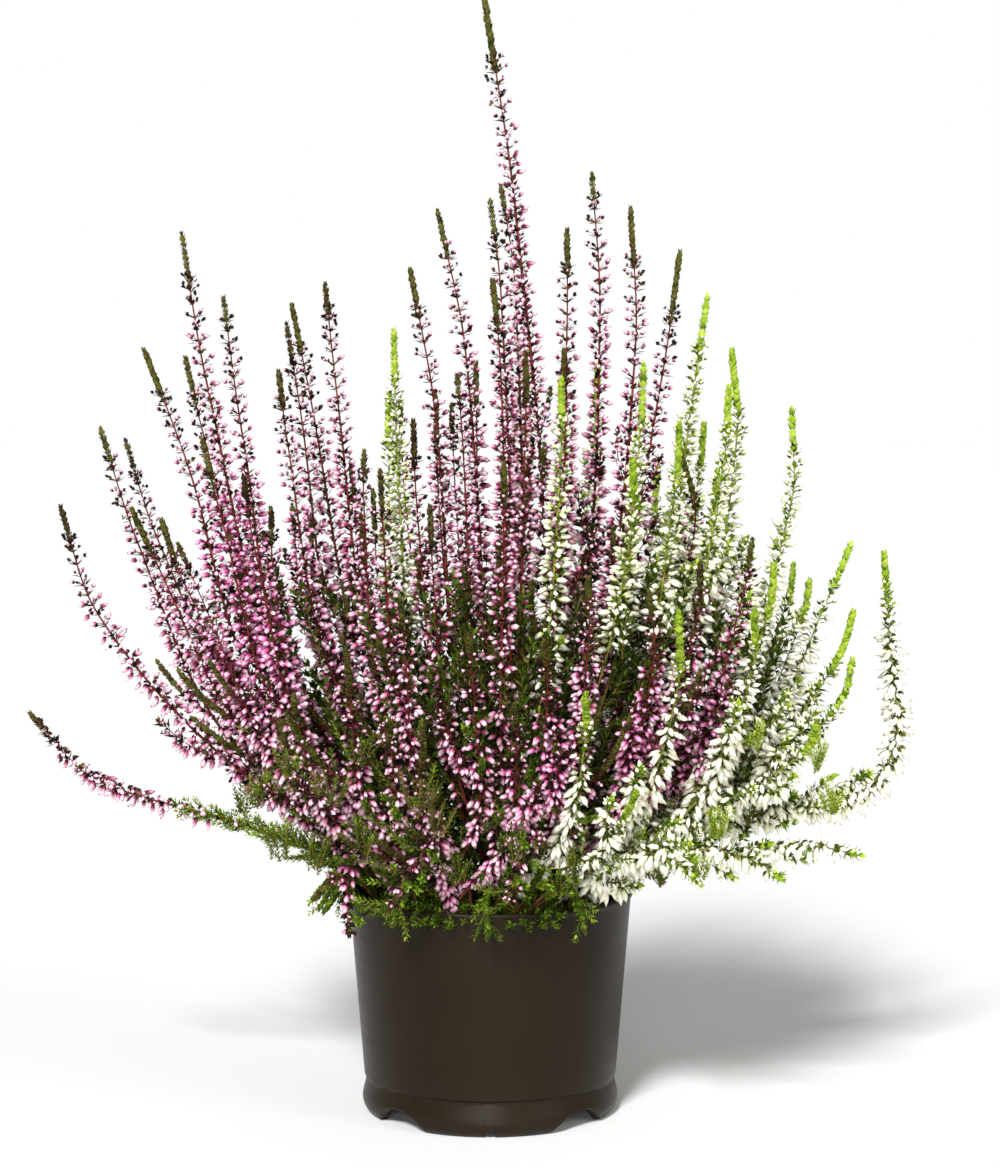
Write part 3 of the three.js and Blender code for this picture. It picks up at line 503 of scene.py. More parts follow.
class Heap:
    """Meshes joined as arrays: places, faces, material of each face, and four numbers at each
    point that the materials read."""

    def __init__(self):
        self.verts, self.faces, self.kinds, self.soft, self.notes = [], [], [], [], []
        self.count = 0

    def add(self, verts, faces, kind, soft, notes):
        """One more mesh, its faces numbered on from the points that are there."""
        self.verts.append(verts)
        self.faces.append(faces + self.count)
        self.kinds.append(np.full(len(faces), kind))
        self.soft.append(np.full(len(faces), soft))
        self.notes.append(notes)
        self.count += len(verts)

    def repeat(self, shape, place, axis, back, scale, kind, soft, note):
        """One copy of the shape for each place, its Z along axis and its Y as near back as it goes.
        note holds (random, ripe, hue) for each copy, and the height in the shape comes first."""
        verts, faces = shape
        axis = unit(axis)
        across = unit(np.cross(back, axis))
        out = np.cross(axis, across)
        turn = np.stack([across, out, axis], axis=1)
        local = verts[None] * scale[:, None, :]
        world = place[:, None, :] + np.einsum("nvc,ncd->nvd", local, turn)
        n, v = len(place), len(verts)
        all_faces = (faces[None] + (np.arange(n) * v)[:, None, None]).reshape(-1, 3)
        notes = np.empty((n, v, 4))
        notes[:, :, 0] = verts[None, :, 2]
        notes[:, :, 1:] = note[:, None, :]
        self.add(world.reshape(-1, 3), all_faces, kind, soft, notes.reshape(-1, 4))

    def mesh(self, name, materials):
        """All of them as one mesh of triangles, moved to the pot's axis and made metres, with
        the four numbers as its attribute grow."""
        verts = (np.concatenate(self.verts) + AXIS) * MM
        faces = np.concatenate(self.faces)
        made = bpy.data.meshes.new(name)
        made.vertices.add(len(verts))
        made.vertices.foreach_set("co", verts.astype(np.float32).ravel())
        made.loops.add(faces.size)
        made.loops.foreach_set("vertex_index", faces.astype(np.int32).ravel())
        made.polygons.add(len(faces))
        made.polygons.foreach_set("loop_start", np.arange(0, faces.size, 3, dtype=np.int32))
        for m in materials:
            made.materials.append(m)
        made.polygons.foreach_set("material_index", np.concatenate(self.kinds).astype(np.int32))
        made.polygons.foreach_set("use_smooth", np.concatenate(self.soft).astype(bool))
        grow = made.color_attributes.new("grow", "FLOAT_COLOR", "POINT")
        grow.data.foreach_set("color", np.concatenate(self.notes).astype(np.float32).ravel())
        made.update(calc_edges=True)
        made.validate()
        return made


# Dressing a spike

# Colour of the stem, 0 red and 1 green, and of the leaves round the end of a white spike
STEM_HUE = {"pink": 0.0, "white": 1.0, "leafy": 0.6}
WHITE_TIP = 0.91

# How the buds of each colour grow. Length and width, in millimetres, are those of the youngest
# buds, of the next ones and of ripe ones. The rest: how much later they ripen high up, how much
# ripe ones sink and nod, and nod more near the pot, how many stay closed and brown, the length
# under which a bud has the young shape, the hue of its stalk and the room round a side spike.
BUDS = {
    "pink": dict(length=(1.7, 2.4, 4.1), width=(1.2, 1.5, 1.95), later=0.45, sink=0.3, nod=0.15,
                 fall=0.8, brown=0.6, young=2.2, stalk=0.0, room=0.3),
    "white": dict(length=(2.3, 4.0, 6.0), width=(1.4, 1.8, 2.2), later=0.0, sink=0.42, nod=0.25,
                  fall=0.75, brown=0.0, young=3.0, stalk=0.55, room=0.8),
}


def notes_of(n, rng, ripe, hue):
    """A random number, how ripe and which hue, for each of n small shapes."""
    out = np.empty((n, 3))
    out[:, 0] = rng.random(n)
    out[:, 1] = ripe
    out[:, 2] = hue
    return out


def stem_tube(heap, spike, sides):
    """A tube along the course: a ring of points at each step, its radius growing downwards, with
    a closed foot and a pointed end."""
    p, way, side, over = (spike[k] for k in ("points", "way", "side", "over"))
    n = len(p)
    u = (n - 1 - np.arange(n)) * spike["pace"]
    woody = 0.0 if spike["side_shoot"] else 0.4
    r = 0.24 + 0.3 * smooth(0, 120, u) + woody * smooth(120, 70, p[:, 2])
    a = 2 * np.pi * np.arange(sides) / sides
    ring = side[:, None] * np.cos(a)[None, :, None] + over[:, None] * np.sin(a)[None, :, None]
    verts = (p[:, None] + ring * r[:, None, None]).reshape(-1, 3)
    k = np.arange(n - 1)[:, None] * sides
    j = np.arange(sides)[None]
    q = (np.arange(sides) + 1)[None] % sides
    quads = np.stack([k + j, k + q, k + sides + q, k + sides + j], axis=-1).reshape(-1, 4)
    faces = np.concatenate([quads[:, [0, 1, 2]], quads[:, [0, 2, 3]]])
    top, foot = len(verts), len(verts) + 1
    verts = np.concatenate([verts, [p[-1] + way[-1] * 0.5], [p[0] - way[0] * 0.4]])
    last = (n - 1) * sides
    caps = [(last + a0, last + (a0 + 1) % sides, top) for a0 in range(sides)]
    caps += [((a0 + 1) % sides, a0, foot) for a0 in range(sides)]
    faces = np.concatenate([faces, np.array(caps)])
    notes = np.zeros((len(verts), 4))
    notes[: n * sides, 0] = np.repeat(np.clip(u / 200, 0, 1), sides)
    notes[top, 0], notes[foot, 0] = 0, 1
    notes[:, 1] = spike["rand"]
    notes[:, 2] = np.clip((max(125, spike["lowest"] + 15) - verts[:, 2]) / 45, 0, 1)
    notes[:, 3] = STEM_HUE[spike["colour"]]
    heap.add(verts, faces, WOOD, True, notes)


def radial(side, over, angle):
    """The way out from a stem at an angle about it: side cos + over sin."""
    return side * np.cos(angle)[..., None] + over * np.sin(angle)[..., None]


def tip_leaves(heap, spike, rng, length, hue):
    """Overlapping scale leaves round the end of a spike, in pairs set crosswise. They are longest
    a little below the tip, swell in lumps along it and lean out more at its foot."""
    total = spike["length"]
    u = np.arange(0.2, length, 0.86)
    p, way, side, over = along(spike, total - u + 0.8)
    for half_turn in (0.0, np.pi):
        angle = spike["phase"] * 6 + np.arange(len(u)) * np.pi / 2 + half_turn
        out = radial(side, over, angle + rng.normal(0, 0.16, len(u)))
        grow = smooth(-3, 4, u) * (1 - 0.25 * smooth(length - 7, length, u))
        grow *= 1.15 if hue > 0.7 else 0.9
        lean = np.radians(9 + 11 * smooth(0, 5, u) + 14 * smooth(length - 6, length, u))
        axis = way * np.cos(lean)[:, None] + out * np.sin(lean)[:, None]
        lump = 0.72 + 0.5 * np.abs(np.sin(u * 1.25 + spike["rand"] * 6))
        lump *= 1.2 if total > TALL else 1.0
        size = np.stack([2.0 * grow + 0.2, 1.6 * grow + 0.2, 1.4 + 1.0 * grow], axis=1)
        size = lump[:, None] * size
        size *= rng.uniform(0.8, 1.2, (len(u), 1))
        base = p + out * (0.3 + 0.3 * grow)[:, None] - way * 0.9
        tone = hue + rng.normal(0, 0.06, len(u))
        notes = notes_of(len(u), rng, 0.0, tone)
        heap.repeat(LEAF_SHAPE, base, axis, out, size, LEAF, False, notes)


# Where the pink is deepest, as (x, z, half width, half height) seen from the front
DEEP = [
    (56, 127, 13, 24), (84, 138, 11, 11), (-94, 206, 20, 26), (-80, 165, 16, 20), (-46, 88, 13, 7),
    (-5, 77, 12, 6), (36, 80, 8, 6), (-48, 68, 10, 8), (18, 128, 12, 14),
]


def depth_of_pink(spike, p):
    """How deep the pink is at each place: the spike's own share, and more inside soft ovals."""
    k = (p[:, 1] - EYE[1]) / -EYE[1]
    x, z = EYE[0] + (p[:, 0] - EYE[0]) / k, EYE[2] + (p[:, 2] - EYE[2]) / k
    more = sum(np.exp(-(((x - cx) / w) ** 2) - ((z - cz) / h) ** 2) for cx, cz, w, h in DEEP)
    return np.clip(spike["deep"] + 0.75 * more, 0, 1)


def flowers(heap, spike, rng, tip):
    """Pairs of bud clusters set crosswise up the stem. In a cluster the buds fan out about its
    bearing; they stand up below the tip, then reach out level and nod lower down. Their size and
    bearing go evenly from young to ripe along the stem, and each has a bract and a short stalk."""
    habit = BUDS[spike["colour"]]
    white = spike["colour"] == "white"
    whorls = 1.0 if spike["whorls"] else 0.0
    total, ripen = spike["length"], spike["ripen"]

    # Where the clusters stand, in millimetres from the tip
    n = np.arange(90)
    if whorls:
        pace = 2.8 + 1.8 * smooth(0, 3, n) - 1.3 * smooth(7, 14, n)
    else:
        pace = 2.4 + 1.0 * smooth(0, 5, n)
    pace = pace * spike["dense"] * rng.uniform(0.8, 1.2, len(n))
    u = tip + np.cumsum(pace) - pace[0]
    u = u[u < total - spike["bare"]]
    p, way, side, over = along(spike, total - u)
    low = smooth(spike["lowest"] - 8, spike["lowest"] + 6, p[:, 2])
    keep = low > 0.02
    u, p, way, side, over, low = (v[keep] for v in (u, p, way, side, over, low))
    if not len(u):
        return
    order, z = np.arange(len(u)), p[:, 2]

    # How young or ripe the buds are, how loosely they stand and how few they are inside the plant
    young = 1 - smooth(tip, tip + (8 if spike["side_shoot"] else 40 * ripen), u)
    below_tip = smooth(tip - 2, tip + 14, u)
    old = smooth(tip + 20 * ripen, tip + 90 * ripen, u)
    old = np.maximum(old, 0.9 * smooth(210, 165, z) * below_tip)
    if spike["side_shoot"]:
        old = np.maximum(old, 0.8 * below_tip)
    old = old * (1 - habit["later"] * smooth(205, 265, z))
    fall = smooth(185, 110, z) * old
    loose = whorls * smooth(14, 7, order)
    brown_share = habit["brown"] * smooth(tip + 34, tip + 4, u) * (1 if whorls else 0.4)
    hidden = smooth(52, 20, np.hypot(p[:, 0], p[:, 1])) * smooth(215, 165, z) * smooth(-45, -30, p[:, 1])
    hidden = hidden * spike["thinned"]
    length, width = (first * young + (1 - young) * (next_one + (ripe - next_one) * old)
                     for first, next_one, ripe in (habit["length"], habit["width"]))
    here = ((total - u) / spike["pace"]).astype(int)
    room = spike["room"][np.clip(here, 0, len(spike["room"]) - 1)]
    deep = depth_of_pink(spike, p)
    if white:
        # Lime high up, dark green lower down on older parts: partly the older leaves' own green, partly
        # painted shade among the white buds.
        leaf_hue = 0.80 - 0.24 * smooth(230, 160, z) * old
    else:
        leaf_hue = 0.14 + 0.26 * smooth(0.4, 0.95, rng.random(len(u)))

    for half_turn in (0.0, np.pi):
        twist = rng.normal(0, 0.22, len(u))
        for place in (-1, 0, 1):
            more = np.maximum(0.4 + 0.45 * smooth(tip + 6, tip + 36, u), loose)
            chance = low * (1.0 if place == 0 else spike["full"] * more) * (1 - 0.84 * hidden)
            on = rng.random(len(u)) < chance
            if not on.any():
                continue
            c = on.sum()
            angle = spike["phase"] * 6 + order[on] * np.pi / 2 + half_turn + twist[on]
            angle = angle + place * (0.58 + 0.22 * old[on]) + rng.normal(0, 0.16, c)
            out = radial(side[on], over[on], angle)
            lift = 0.8 * young[on] + 0.38 * (1 - young[on]) - habit["sink"] * old[on]
            lift = lift + rng.normal(0, 0.2, c) + (0.16 if place == 0 else -0.12)
            droop = habit["nod"] * old[on] + habit["fall"] * fall[on]
            axis = out * np.cos(lift)[:, None] + way[on] * np.sin(lift)[:, None] - UP * droop[:, None]
            axis = unit(axis)
            stalk = np.minimum(2.5, room[on] - 0.7 * length[on]) + 0.9 * loose[on]
            stalk = np.maximum(0.45, stalk * rng.uniform(0.55, 1.15, c))
            rise = np.radians(28 + 24 * rng.random(c))
            lead = unit(out * np.cos(rise)[:, None] + way[on] * np.sin(rise)[:, None])
            slide = rng.uniform(-1, 1, c) * (1.7 - 1.2 * loose[on])
            start = p[on] + way[on] * slide[:, None]
            base = start + lead * (0.35 + stalk)[:, None]

            # The buds, some of them young, and some closed and brown near the tip
            scale = rng.uniform(0.75, 1.22, c)
            body = np.stack([width[on], width[on], length[on]], axis=1) * scale[:, None]
            notes = notes_of(c, rng, old[on], deep[on])
            small = body[:, 2] < habit["young"]
            brown = rng.random(c) < brown_share[on]
            notes[brown, 2] = rng.uniform(0.08, 0.3, brown.sum())
            for shape, kind, some in (("young", FLOWER, small & ~brown), ("young", LEAF, brown),
                                      (spike["colour"], FLOWER, ~small & ~brown)):
                if some.any():
                    heap.repeat(BUD_SHAPES[shape], base[some], axis[some], out[some], body[some],
                                kind, True, notes[some])

            # Stalks where they can be seen
            seen = (stalk > 1.2) & (hidden[on] < 0.5) & ((z[on] > 150) | (u[on] < 60))
            if seen.any():
                thin = np.stack([np.full(c, 0.45), np.full(c, 0.45), stalk + 0.9], axis=1)[seen]
                heap.repeat(STALK_SHAPE, start[seen], lead[seen], way[on][seen], thin, WOOD, False,
                            notes_of(seen.sum(), rng, 0.1, habit["stalk"]))

            # A bract cups the foot of each bud, at any side of it
            b = np.flatnonzero(rng.random(c) < 1 - 0.7 * hidden[on])
            turn = rng.random(len(b)) * 1.6
            across = unit(np.cross(axis[b], out[b] + 0.01))
            under = np.cross(across, axis[b])
            around = across * np.cos(turn)[:, None] + under * np.sin(turn)[:, None]
            cup = unit(axis[b] + around * rng.uniform(0.2, 0.75, len(b))[:, None])
            long = (0.6 + 0.35 * young[on][b]) * length[on][b] * rng.uniform(0.6, 1.15, len(b))
            wide = width[on][b]
            size = np.stack([0.95 * wide, 0.7 * wide, np.clip(long, 1.8, 2.8)], axis=1)
            foot = base[b] + around * (0.26 * wide)[:, None] - axis[b] * 0.35
            notes = notes_of(len(b), rng, 0.0, leaf_hue[on][b] - 0.05 + rng.normal(0, 0.07, len(b)))
            heap.repeat(LEAF_SHAPE, foot, cup, around, size, LEAF, False, notes)

    # The leaves under the clusters
    for half_turn, sparse in ((0.0, 0), (np.pi, 0), (0.6, 1), (3.7, 1)):
        chance = (1 - 0.6 * hidden) * (1 - 0.8 * sparse * np.maximum(old, 0.3 - loose))
        b = np.flatnonzero(rng.random(len(u)) < chance)
        if spike["full"] < 0.7 and sparse:
            continue
        c = len(b)
        angle = spike["phase"] * 6 + order[b] * np.pi / 2 + half_turn + rng.normal(0, 0.3, c)
        out = radial(side[b], over[b], angle)
        lean = np.radians(38 + 30 * rng.random(c) + 18 * loose[b])
        axis = way[b] * np.cos(lean)[:, None] + out * np.sin(lean)[:, None]
        size = np.stack([np.full(c, 1.7), np.full(c, 1.3), rng.uniform(2.6, 4.4, c)], axis=1)
        slide = way[b] * (rng.uniform(-2, 1, c) * (1 - 0.7 * loose[b]))[:, None]
        notes = notes_of(c, rng, 0.0, leaf_hue[b] + rng.normal(0, 0.08, c))
        heap.repeat(LEAF_SHAPE, p[b] + out * 0.3 + slide, axis, out, size, LEAF, False, notes)


def shoots(heap, base, start, end, length, hue, rng, pace=1.1, leaf=1.0):
    """Leafy shoots that bend evenly from one bearing to another, with pairs of small leaves set
    crosswise along each: place = base + start s + (end - start) s^2 / 2L."""
    count = np.maximum(4, (length / pace).astype(int))
    which = np.repeat(np.arange(len(base)), count)
    k = np.concatenate([np.arange(c) for c in count])
    s = k * pace + 0.6
    share = s / length[which]
    ways = start[which] + (end - start)[which] * share[:, None]
    p = base[which] + start[which] * s[:, None] + (end - start)[which] * (s * share / 2)[:, None]
    ways = unit(ways)
    across = unit(np.cross(ways, np.array([0.13, 0.31, 0.94])))
    over = np.cross(ways, across)
    taper = smooth(1.12, 0.72, share) * (0.75 + 0.25 * smooth(0, 0.2, share))
    for half_turn in (0.0, np.pi):
        angle = which * 1.7 + k * np.pi / 2 + half_turn + rng.normal(0, 0.12, len(k))
        out = radial(across, over, angle)
        lean = np.radians(46 - 22 * smooth(0.75, 1.0, share) + rng.normal(0, 6, len(k)))
        axis = ways * np.cos(lean)[:, None] + out * np.sin(lean)[:, None]
        size = leaf * np.stack([0.95 * taper + 0.1, 0.8 * taper + 0.1, 1.9 * taper + 0.5], axis=1)
        tone = hue[which] + 0.10 * smooth(0.5, 1.0, share) + rng.normal(0, 0.05, len(k))
        notes = notes_of(len(k), rng, 0.0, tone)
        heap.repeat(LEAF_SHAPE, p + out * 0.2, axis, out, size, LEAF, False, notes)
    # The shoot's own stem, as short pointed stalks end to end
    cut = k % 5 == 0
    long = np.minimum(5 * pace + 1.2, np.maximum(1.5, (length[which] - s)))[cut]
    c = cut.sum()
    thin = np.stack([np.full(c, 0.55), np.full(c, 0.55), long], axis=1)
    notes = notes_of(c, rng, 0.5, 0.6)
    heap.repeat(STALK_SHAPE, p[cut], ways[cut], over[cut], thin, WOOD, False, notes)


def foot_shoots(heap, spike, rng):
    """Leafy side shoots on the lower stem of a spike, rising outwards. They go highest in the middle of the
    plant and at the left, and stand close together on a mossy spike. Their green is darker towards the
    middle of the plant, as painted shade."""
    apart, edge, short, brighter = (0.65, 106, 0.75, 0.07) if spike["mossy"] else (4.2, 82, 1, 0)
    s = np.arange(16, spike["length"], apart)
    s = s + rng.uniform(-0.7, 0.7, len(s))
    p, way, side, over = along(spike, s)
    z = p[:, 2]
    away = np.hypot(p[:, 0], 0.9 * p[:, 1])
    heart = 1 - smooth(30, 75, away)
    upper = 112 + 62 * heart + 24 * smooth(-45, -70, p[:, 0])
    chance = smooth(upper + 8, upper - 22, z) * smooth(74, 80, z) * smooth(edge + 12, edge, away)
    on = rng.random(len(s)) < chance
    if not on.any():
        return
    p, way, side, over, away = p[on], way[on], side[on], over[on], away[on]
    c = len(p)
    out = radial(side, over, rng.random(c) * 2 * np.pi)
    outward = unit(np.column_stack([p[:, 0], p[:, 1], np.zeros(c)]) + 1e-6)
    start = unit(way * 0.7 + out * 0.8 + outward * 0.25)
    end = unit(start * 0.7 + UP * rng.uniform(0.2, 0.9, c)[:, None] + outward * 0.3)
    length = rng.uniform(9, 22, c) * (1 - 0.45 * smooth(55, 95, away)) * short
    # Darker green nearer the pot's axis: painted shade inside the bush. The rest is random, plus the mossy
    # spike's own brighter green.
    hue = 0.56 + 0.10 * smooth(40, 70, away) + 0.08 * rng.random(c) + brighter
    shoots(heap, p, start, end, length, hue, rng)


def side_spikes(spike, rng):
    """Short flowering spikes on the part of a spike that carries them. Each leaves it outwards,
    some of them to the front, and bends up beside it: place = foot + L (start t + (end - start)
    t^2 / 2). Some pink ones are leafy over more than half of their length."""
    found = []
    pink = spike["colour"] == "pink"
    bushy = spike["side_front"] >= 0.5
    s = spike["first_side"] + rng.uniform(0, 8)
    turn = rng.random() * 6.28
    while s < spike["length"] * spike["side_share"]:
        p, way, side, over = (v[0] for v in along(spike, np.array([s])))
        turn += 2.4 + rng.normal(0, 0.4)
        if p[2] > max(84, spike["lowest"] - 10) or spike["lowest"] < HANGS:
            out = side * math.cos(turn) + over * math.sin(turn)
            away = unit(np.array([p[0], p[1], 0.0]))
            start = unit(way * 0.8 + out * 0.7 + TO_FRONT * spike["side_front"])
            lift = spike["side_lift"] + rng.uniform(-1, 1) * spike["side_stray"]
            end = unit(way * 0.9 + out * 0.15 + UP * lift + away * 0.2)
            length = spike["side_long"] * rng.uniform(22, 44) * (1 - 0.35 * smooth(150, 230, p[2]))
            t = np.linspace(0, 1, max(4, int(length / 4)))[:, None]
            points = p + length * (start * t + (end - start) * t**2 / 2)
            twig = dict(spike, points=points, phase=rng.random(), rand=rng.random(),
                        tip=rng.uniform(1, 4), side_shoot=True, bare=2.5, lowest=80, whorls=False)
            if pink and rng.random() < (0.12 if bushy else 0.34):
                twig["tip"], twig["tone"] = 0.6 * length, rng.uniform(0.38, 0.5)
            ready(twig)
            full = 1.6 + 2.6 * smooth(2, 20, twig["length"] - twig["pace"] * np.arange(len(points)))
            twig["room"] = full + BUDS[spike["colour"]]["room"]
            found.append(twig)
        s += spike["side_pace"] * rng.uniform(0.75, 1.25)
    return found


def ready(spike):
    """Works out a spike's spacing, length and frames from its points."""
    spike["pace"] = float(np.mean(np.linalg.norm(np.diff(spike["points"], axis=0), axis=1)))
    spike["length"] = spike["pace"] * (len(spike["points"]) - 1)
    spike["way"], spike["side"], spike["over"] = carried(spike["points"])


def dress(spike, heap, rng):
    """A spike's stem, leafy end, flowers and leafy shoots, and the same for its side spikes. A
    leafy one has a shoot every few millimetres instead."""
    stem_tube(heap, spike, 3 if spike["side_shoot"] else 4)
    if spike["colour"] == "leafy":
        s = np.arange(12, spike["length"] - 4, 3.4)
        p, way, side, over = along(spike, s)
        n = len(s)
        angle = rng.random(n) * 6.28
        start = unit(way + 1.1 * radial(side, over, angle))
        end = unit(start * 0.6 + way * 0.6 - 0.1 * UP)
        shoots(heap, p, start, end, rng.uniform(6, 12, n), 0.68 + 0.14 * rng.random(n), rng)
        tip_leaves(heap, spike, rng, spike["length"] - 12, 0.68)
        return
    white = spike["colour"] == "white"
    hue = WHITE_TIP if white else spike["tone"]
    tip_leaves(heap, spike, rng, spike["tip"] + (1 if spike["side_shoot"] else 3), hue)
    flowers(heap, spike, rng, spike["tip"])
    if not spike["side_shoot"]:
        foot_shoots(heap, spike, rng)
        for twig in side_spikes(spike, rng):
            dress(twig, heap, rng)


# Arcs of the rim with shoots: bearings from and to, in degrees, and how many
RIM_ARCS = [(-140, -58, 270), (-58, -42, 10), (-200, -140, 50), (10, 160, 80)]


def rim_foliage(rng):
    """Short leafy shoots round the edge of the soil that rise a little, lean out and hang over the
    rim, most of them at the front left."""
    bearing = np.radians(np.concatenate([rng.uniform(*arc) for arc in RIM_ARCS]))
    n = len(bearing)
    r = rng.uniform(30, 49.5, n)
    out = np.column_stack([np.cos(bearing), np.sin(bearing), np.zeros(n)])
    base = out * r[:, None] + (SOIL_TOP + 1) * UP
    around = np.column_stack([-out[:, 1], out[:, 0], np.zeros(n)]) * rng.normal(0, 0.35, n)[:, None]
    edge = smooth(36, 48, r)
    leave = 0.15 + 0.5 * edge * rng.random(n)
    start = unit(UP * (1.0 - 0.15 * edge)[:, None] + out * leave[:, None] + around)
    hang = edge * rng.random(n)
    end = unit(UP * (0.9 - 1.35 * hang)[:, None] + out * (0.25 + 0.75 * edge)[:, None] + around)
    length = (rng.uniform(8, 17, n) + 4 * hang) * (0.8 + 0.2 * np.sin(5 * bearing))
    # A little lighter at the rim and darker further in: painted shade.
    hue = 0.55 + 0.03 * edge + 0.10 * rng.random(n) ** 2
    heap = Heap()
    shoots(heap, base, start, end, length, hue, rng)
    return heap


def heart_foliage(rng):
    """Leafy shoots in a near-black green, painted shade for the inside of the plant, that fill the middle of
    the plant and the middle of its white side, between the stems: feet spread evenly over an oval at each
    height, ends leaning outwards."""
    middle, right = 390, 120
    right_at = (74.0, 2.0)
    n = middle + right
    bearing = rng.uniform(0, 2 * np.pi, n)
    z = np.concatenate([rng.uniform(80, 182, middle), rng.uniform(98, 172, right)])
    wide = np.concatenate([30 + 0.42 * (z[:middle] - 76), np.full(right, 26.0)])
    r = wide * np.sqrt(rng.random(n))
    out = np.column_stack([np.cos(bearing), np.sin(bearing), np.zeros(n)])
    base = out * np.column_stack([1.25 * r, 0.8 * r, r])
    base += np.column_stack([np.repeat([0.0, right_at[0]], [middle, right]),
                             np.repeat([4.0, right_at[1]], [middle, right]), z])
    start = unit(UP + out * (0.5 * rng.random(n))[:, None] + rng.normal(0, 0.25, (n, 3)))
    end = unit(UP + out * (0.9 * rng.random(n))[:, None])
    heap = Heap()
    # A near-black moss hue: painted shade for the inside of the plant.
    hue = 0.545 + 0.05 * rng.random(n)
    shoots(heap, base, start, end, rng.uniform(16, 28, n), hue, rng, 2.2, 2.0)
    return heap


# Bushy bright tufts among the flowers: x and z seen from the front, depth, hue and size
TUFTS = [
    (84, 110, -52, 0.86, 13), (77, 91, -56, 0.82, 9), (120, 134, -30, 0.9, 12),
    (126, 117, -30, 0.88, 10), (63, 87, -58, 0.68, 7), (-58, 122, -60, 0.66, 14),
    (-26, 118, -76, 0.46, 13), (-64, 100, -48, 0.66, 15), (-76, 103, -30, 0.68, 14),
    (-20, 112, -78, 0.44, 14), (-46, 104, -58, 0.66, 13), (10, 100, -70, 0.62, 12),
    (30, 92, -66, 0.62, 12), (-12, 92, -64, 0.60, 12), (24, 87, -60, 0.66, 10),
    (97, 140, -40, 0.86, 10), (-72, 134, -44, 0.70, 15), (-50, 138, -62, 0.64, 14),
    (-86, 122, -30, 0.72, 13), (-92, 118, -20, 0.68, 12),
]


def tufts(rng):
    """Eight short shoots from one place for each tuft, which part a little and bend up."""
    heap = Heap()
    n = 8
    for x, z, y, hue, size in TUFTS:
        k = (y - EYE[1]) / -EYE[1]
        at = np.array([EYE[0] + (x - EYE[0]) * k, y, EYE[2] + (z - 0.8 * size - EYE[2]) * k])
        start = unit(np.column_stack([rng.normal(0, 0.45, n), rng.normal(-0.25, 0.3, n), np.ones(n)]))
        base = at + rng.normal(0, 0.1 * size, (n, 3))
        shoots(heap, base, start, unit(start + 0.6 * UP), size * rng.uniform(0.7, 1.2, n),
               hue + rng.uniform(-0.04, 0.04, n), rng, 0.85, 0.78)
    return heap


# Materials

# Petals from the foot of a bud to its end, as (place, colour)
PINK_PETALS = dict(
    young=[(0.0, (0.08, 0.014, 0.018)), (0.3, (0.40, 0.06, 0.14)), (0.55, (0.86, 0.48, 0.60)),
           (0.85, (0.94, 0.76, 0.80)), (1.0, (0.56, 0.14, 0.26))],
    ripe=[(0.0, (0.16, 0.014, 0.03)), (0.26, (0.46, 0.07, 0.18)), (0.52, (0.87, 0.48, 0.61)),
          (0.82, (0.96, 0.82, 0.85)), (1.0, (0.62, 0.18, 0.32))],
    deep=[(0.0, (0.20, 0.01, 0.08)), (0.3, (0.56, 0.045, 0.28)), (0.6, (0.84, 0.20, 0.50)),
          (0.88, (0.94, 0.54, 0.72)), (1.0, (0.56, 0.06, 0.30))],
)
WHITE_PETALS = dict(
    young=[(0.0, (0.22, 0.33, 0.03)), (0.25, (0.66, 0.74, 0.26)), (0.6, (0.93, 0.94, 0.72)),
           (1.0, (0.86, 0.89, 0.55))],
    ripe=[(0.0, (0.46, 0.52, 0.14)), (0.15, (0.90, 0.90, 0.64)), (0.45, (0.99, 0.98, 0.83)),
          (0.9, (0.99, 0.98, 0.82)), (1.0, (0.90, 0.87, 0.60))],
    deep=[(0.0, (0.40, 0.40, 0.12)), (0.25, (0.92, 0.88, 0.66)), (0.7, (0.99, 0.95, 0.82)),
          (1.0, (0.82, 0.70, 0.46))],
)
# Leaves along the hue: dead brown, olive brown at 0.48, then moss to lime
LEAF_COLOURS = [
    (0.0, (0.008, 0.005, 0.004)), (0.22, (0.020, 0.012, 0.007)), (0.36, (0.060, 0.044, 0.014)),
    (0.48, (0.120, 0.120, 0.022)), (0.56, (0.016, 0.032, 0.003)), (0.66, (0.042, 0.085, 0.005)),
    (0.76, (0.100, 0.180, 0.010)), (0.9, (0.30, 0.46, 0.03)), (1.0, (0.50, 0.62, 0.08)),
]
WOOD_COLOURS = dict(
    red=[(0.3, (0.08, 0.012, 0.010)), (0.6, (0.20, 0.028, 0.026)), (0.8, (0.34, 0.08, 0.045))],
    green=[(0.3, (0.12, 0.15, 0.02)), (0.6, (0.30, 0.36, 0.05)), (0.8, (0.40, 0.36, 0.08))],
    bark=[(0.3, (0.05, 0.02, 0.012)), (0.55, (0.17, 0.065, 0.028)), (0.8, (0.30, 0.14, 0.06))],
)
POT_COLOURS = [(0.3, (0.0110, 0.0058, 0.0020)), (0.7, (0.0145, 0.0084, 0.0033))]
DUST = (0.06, 0.05, 0.038)
PEAT_COLOURS = [
    (0.3, (0.006, 0.004, 0.003)), (0.55, (0.018, 0.011, 0.007)), (0.75, (0.050, 0.030, 0.018)),
]
STRAW = (0.20, 0.13, 0.07)


def fresh(name):
    """A new material with its tree and its shader."""
    m = bpy.data.materials.new(name)
    m.use_nodes = True
    tree = m.node_tree
    return m, tree, tree.nodes["Principled BSDF"]


def finish_of(tree, shader, base, sockets):
    """The shader's colour from a node, and its other sockets from the numbers given."""
    tree.links.new(base, shader.inputs["Base Color"])
    for name, value in sockets.items():
        shader.inputs[name].default_value = value


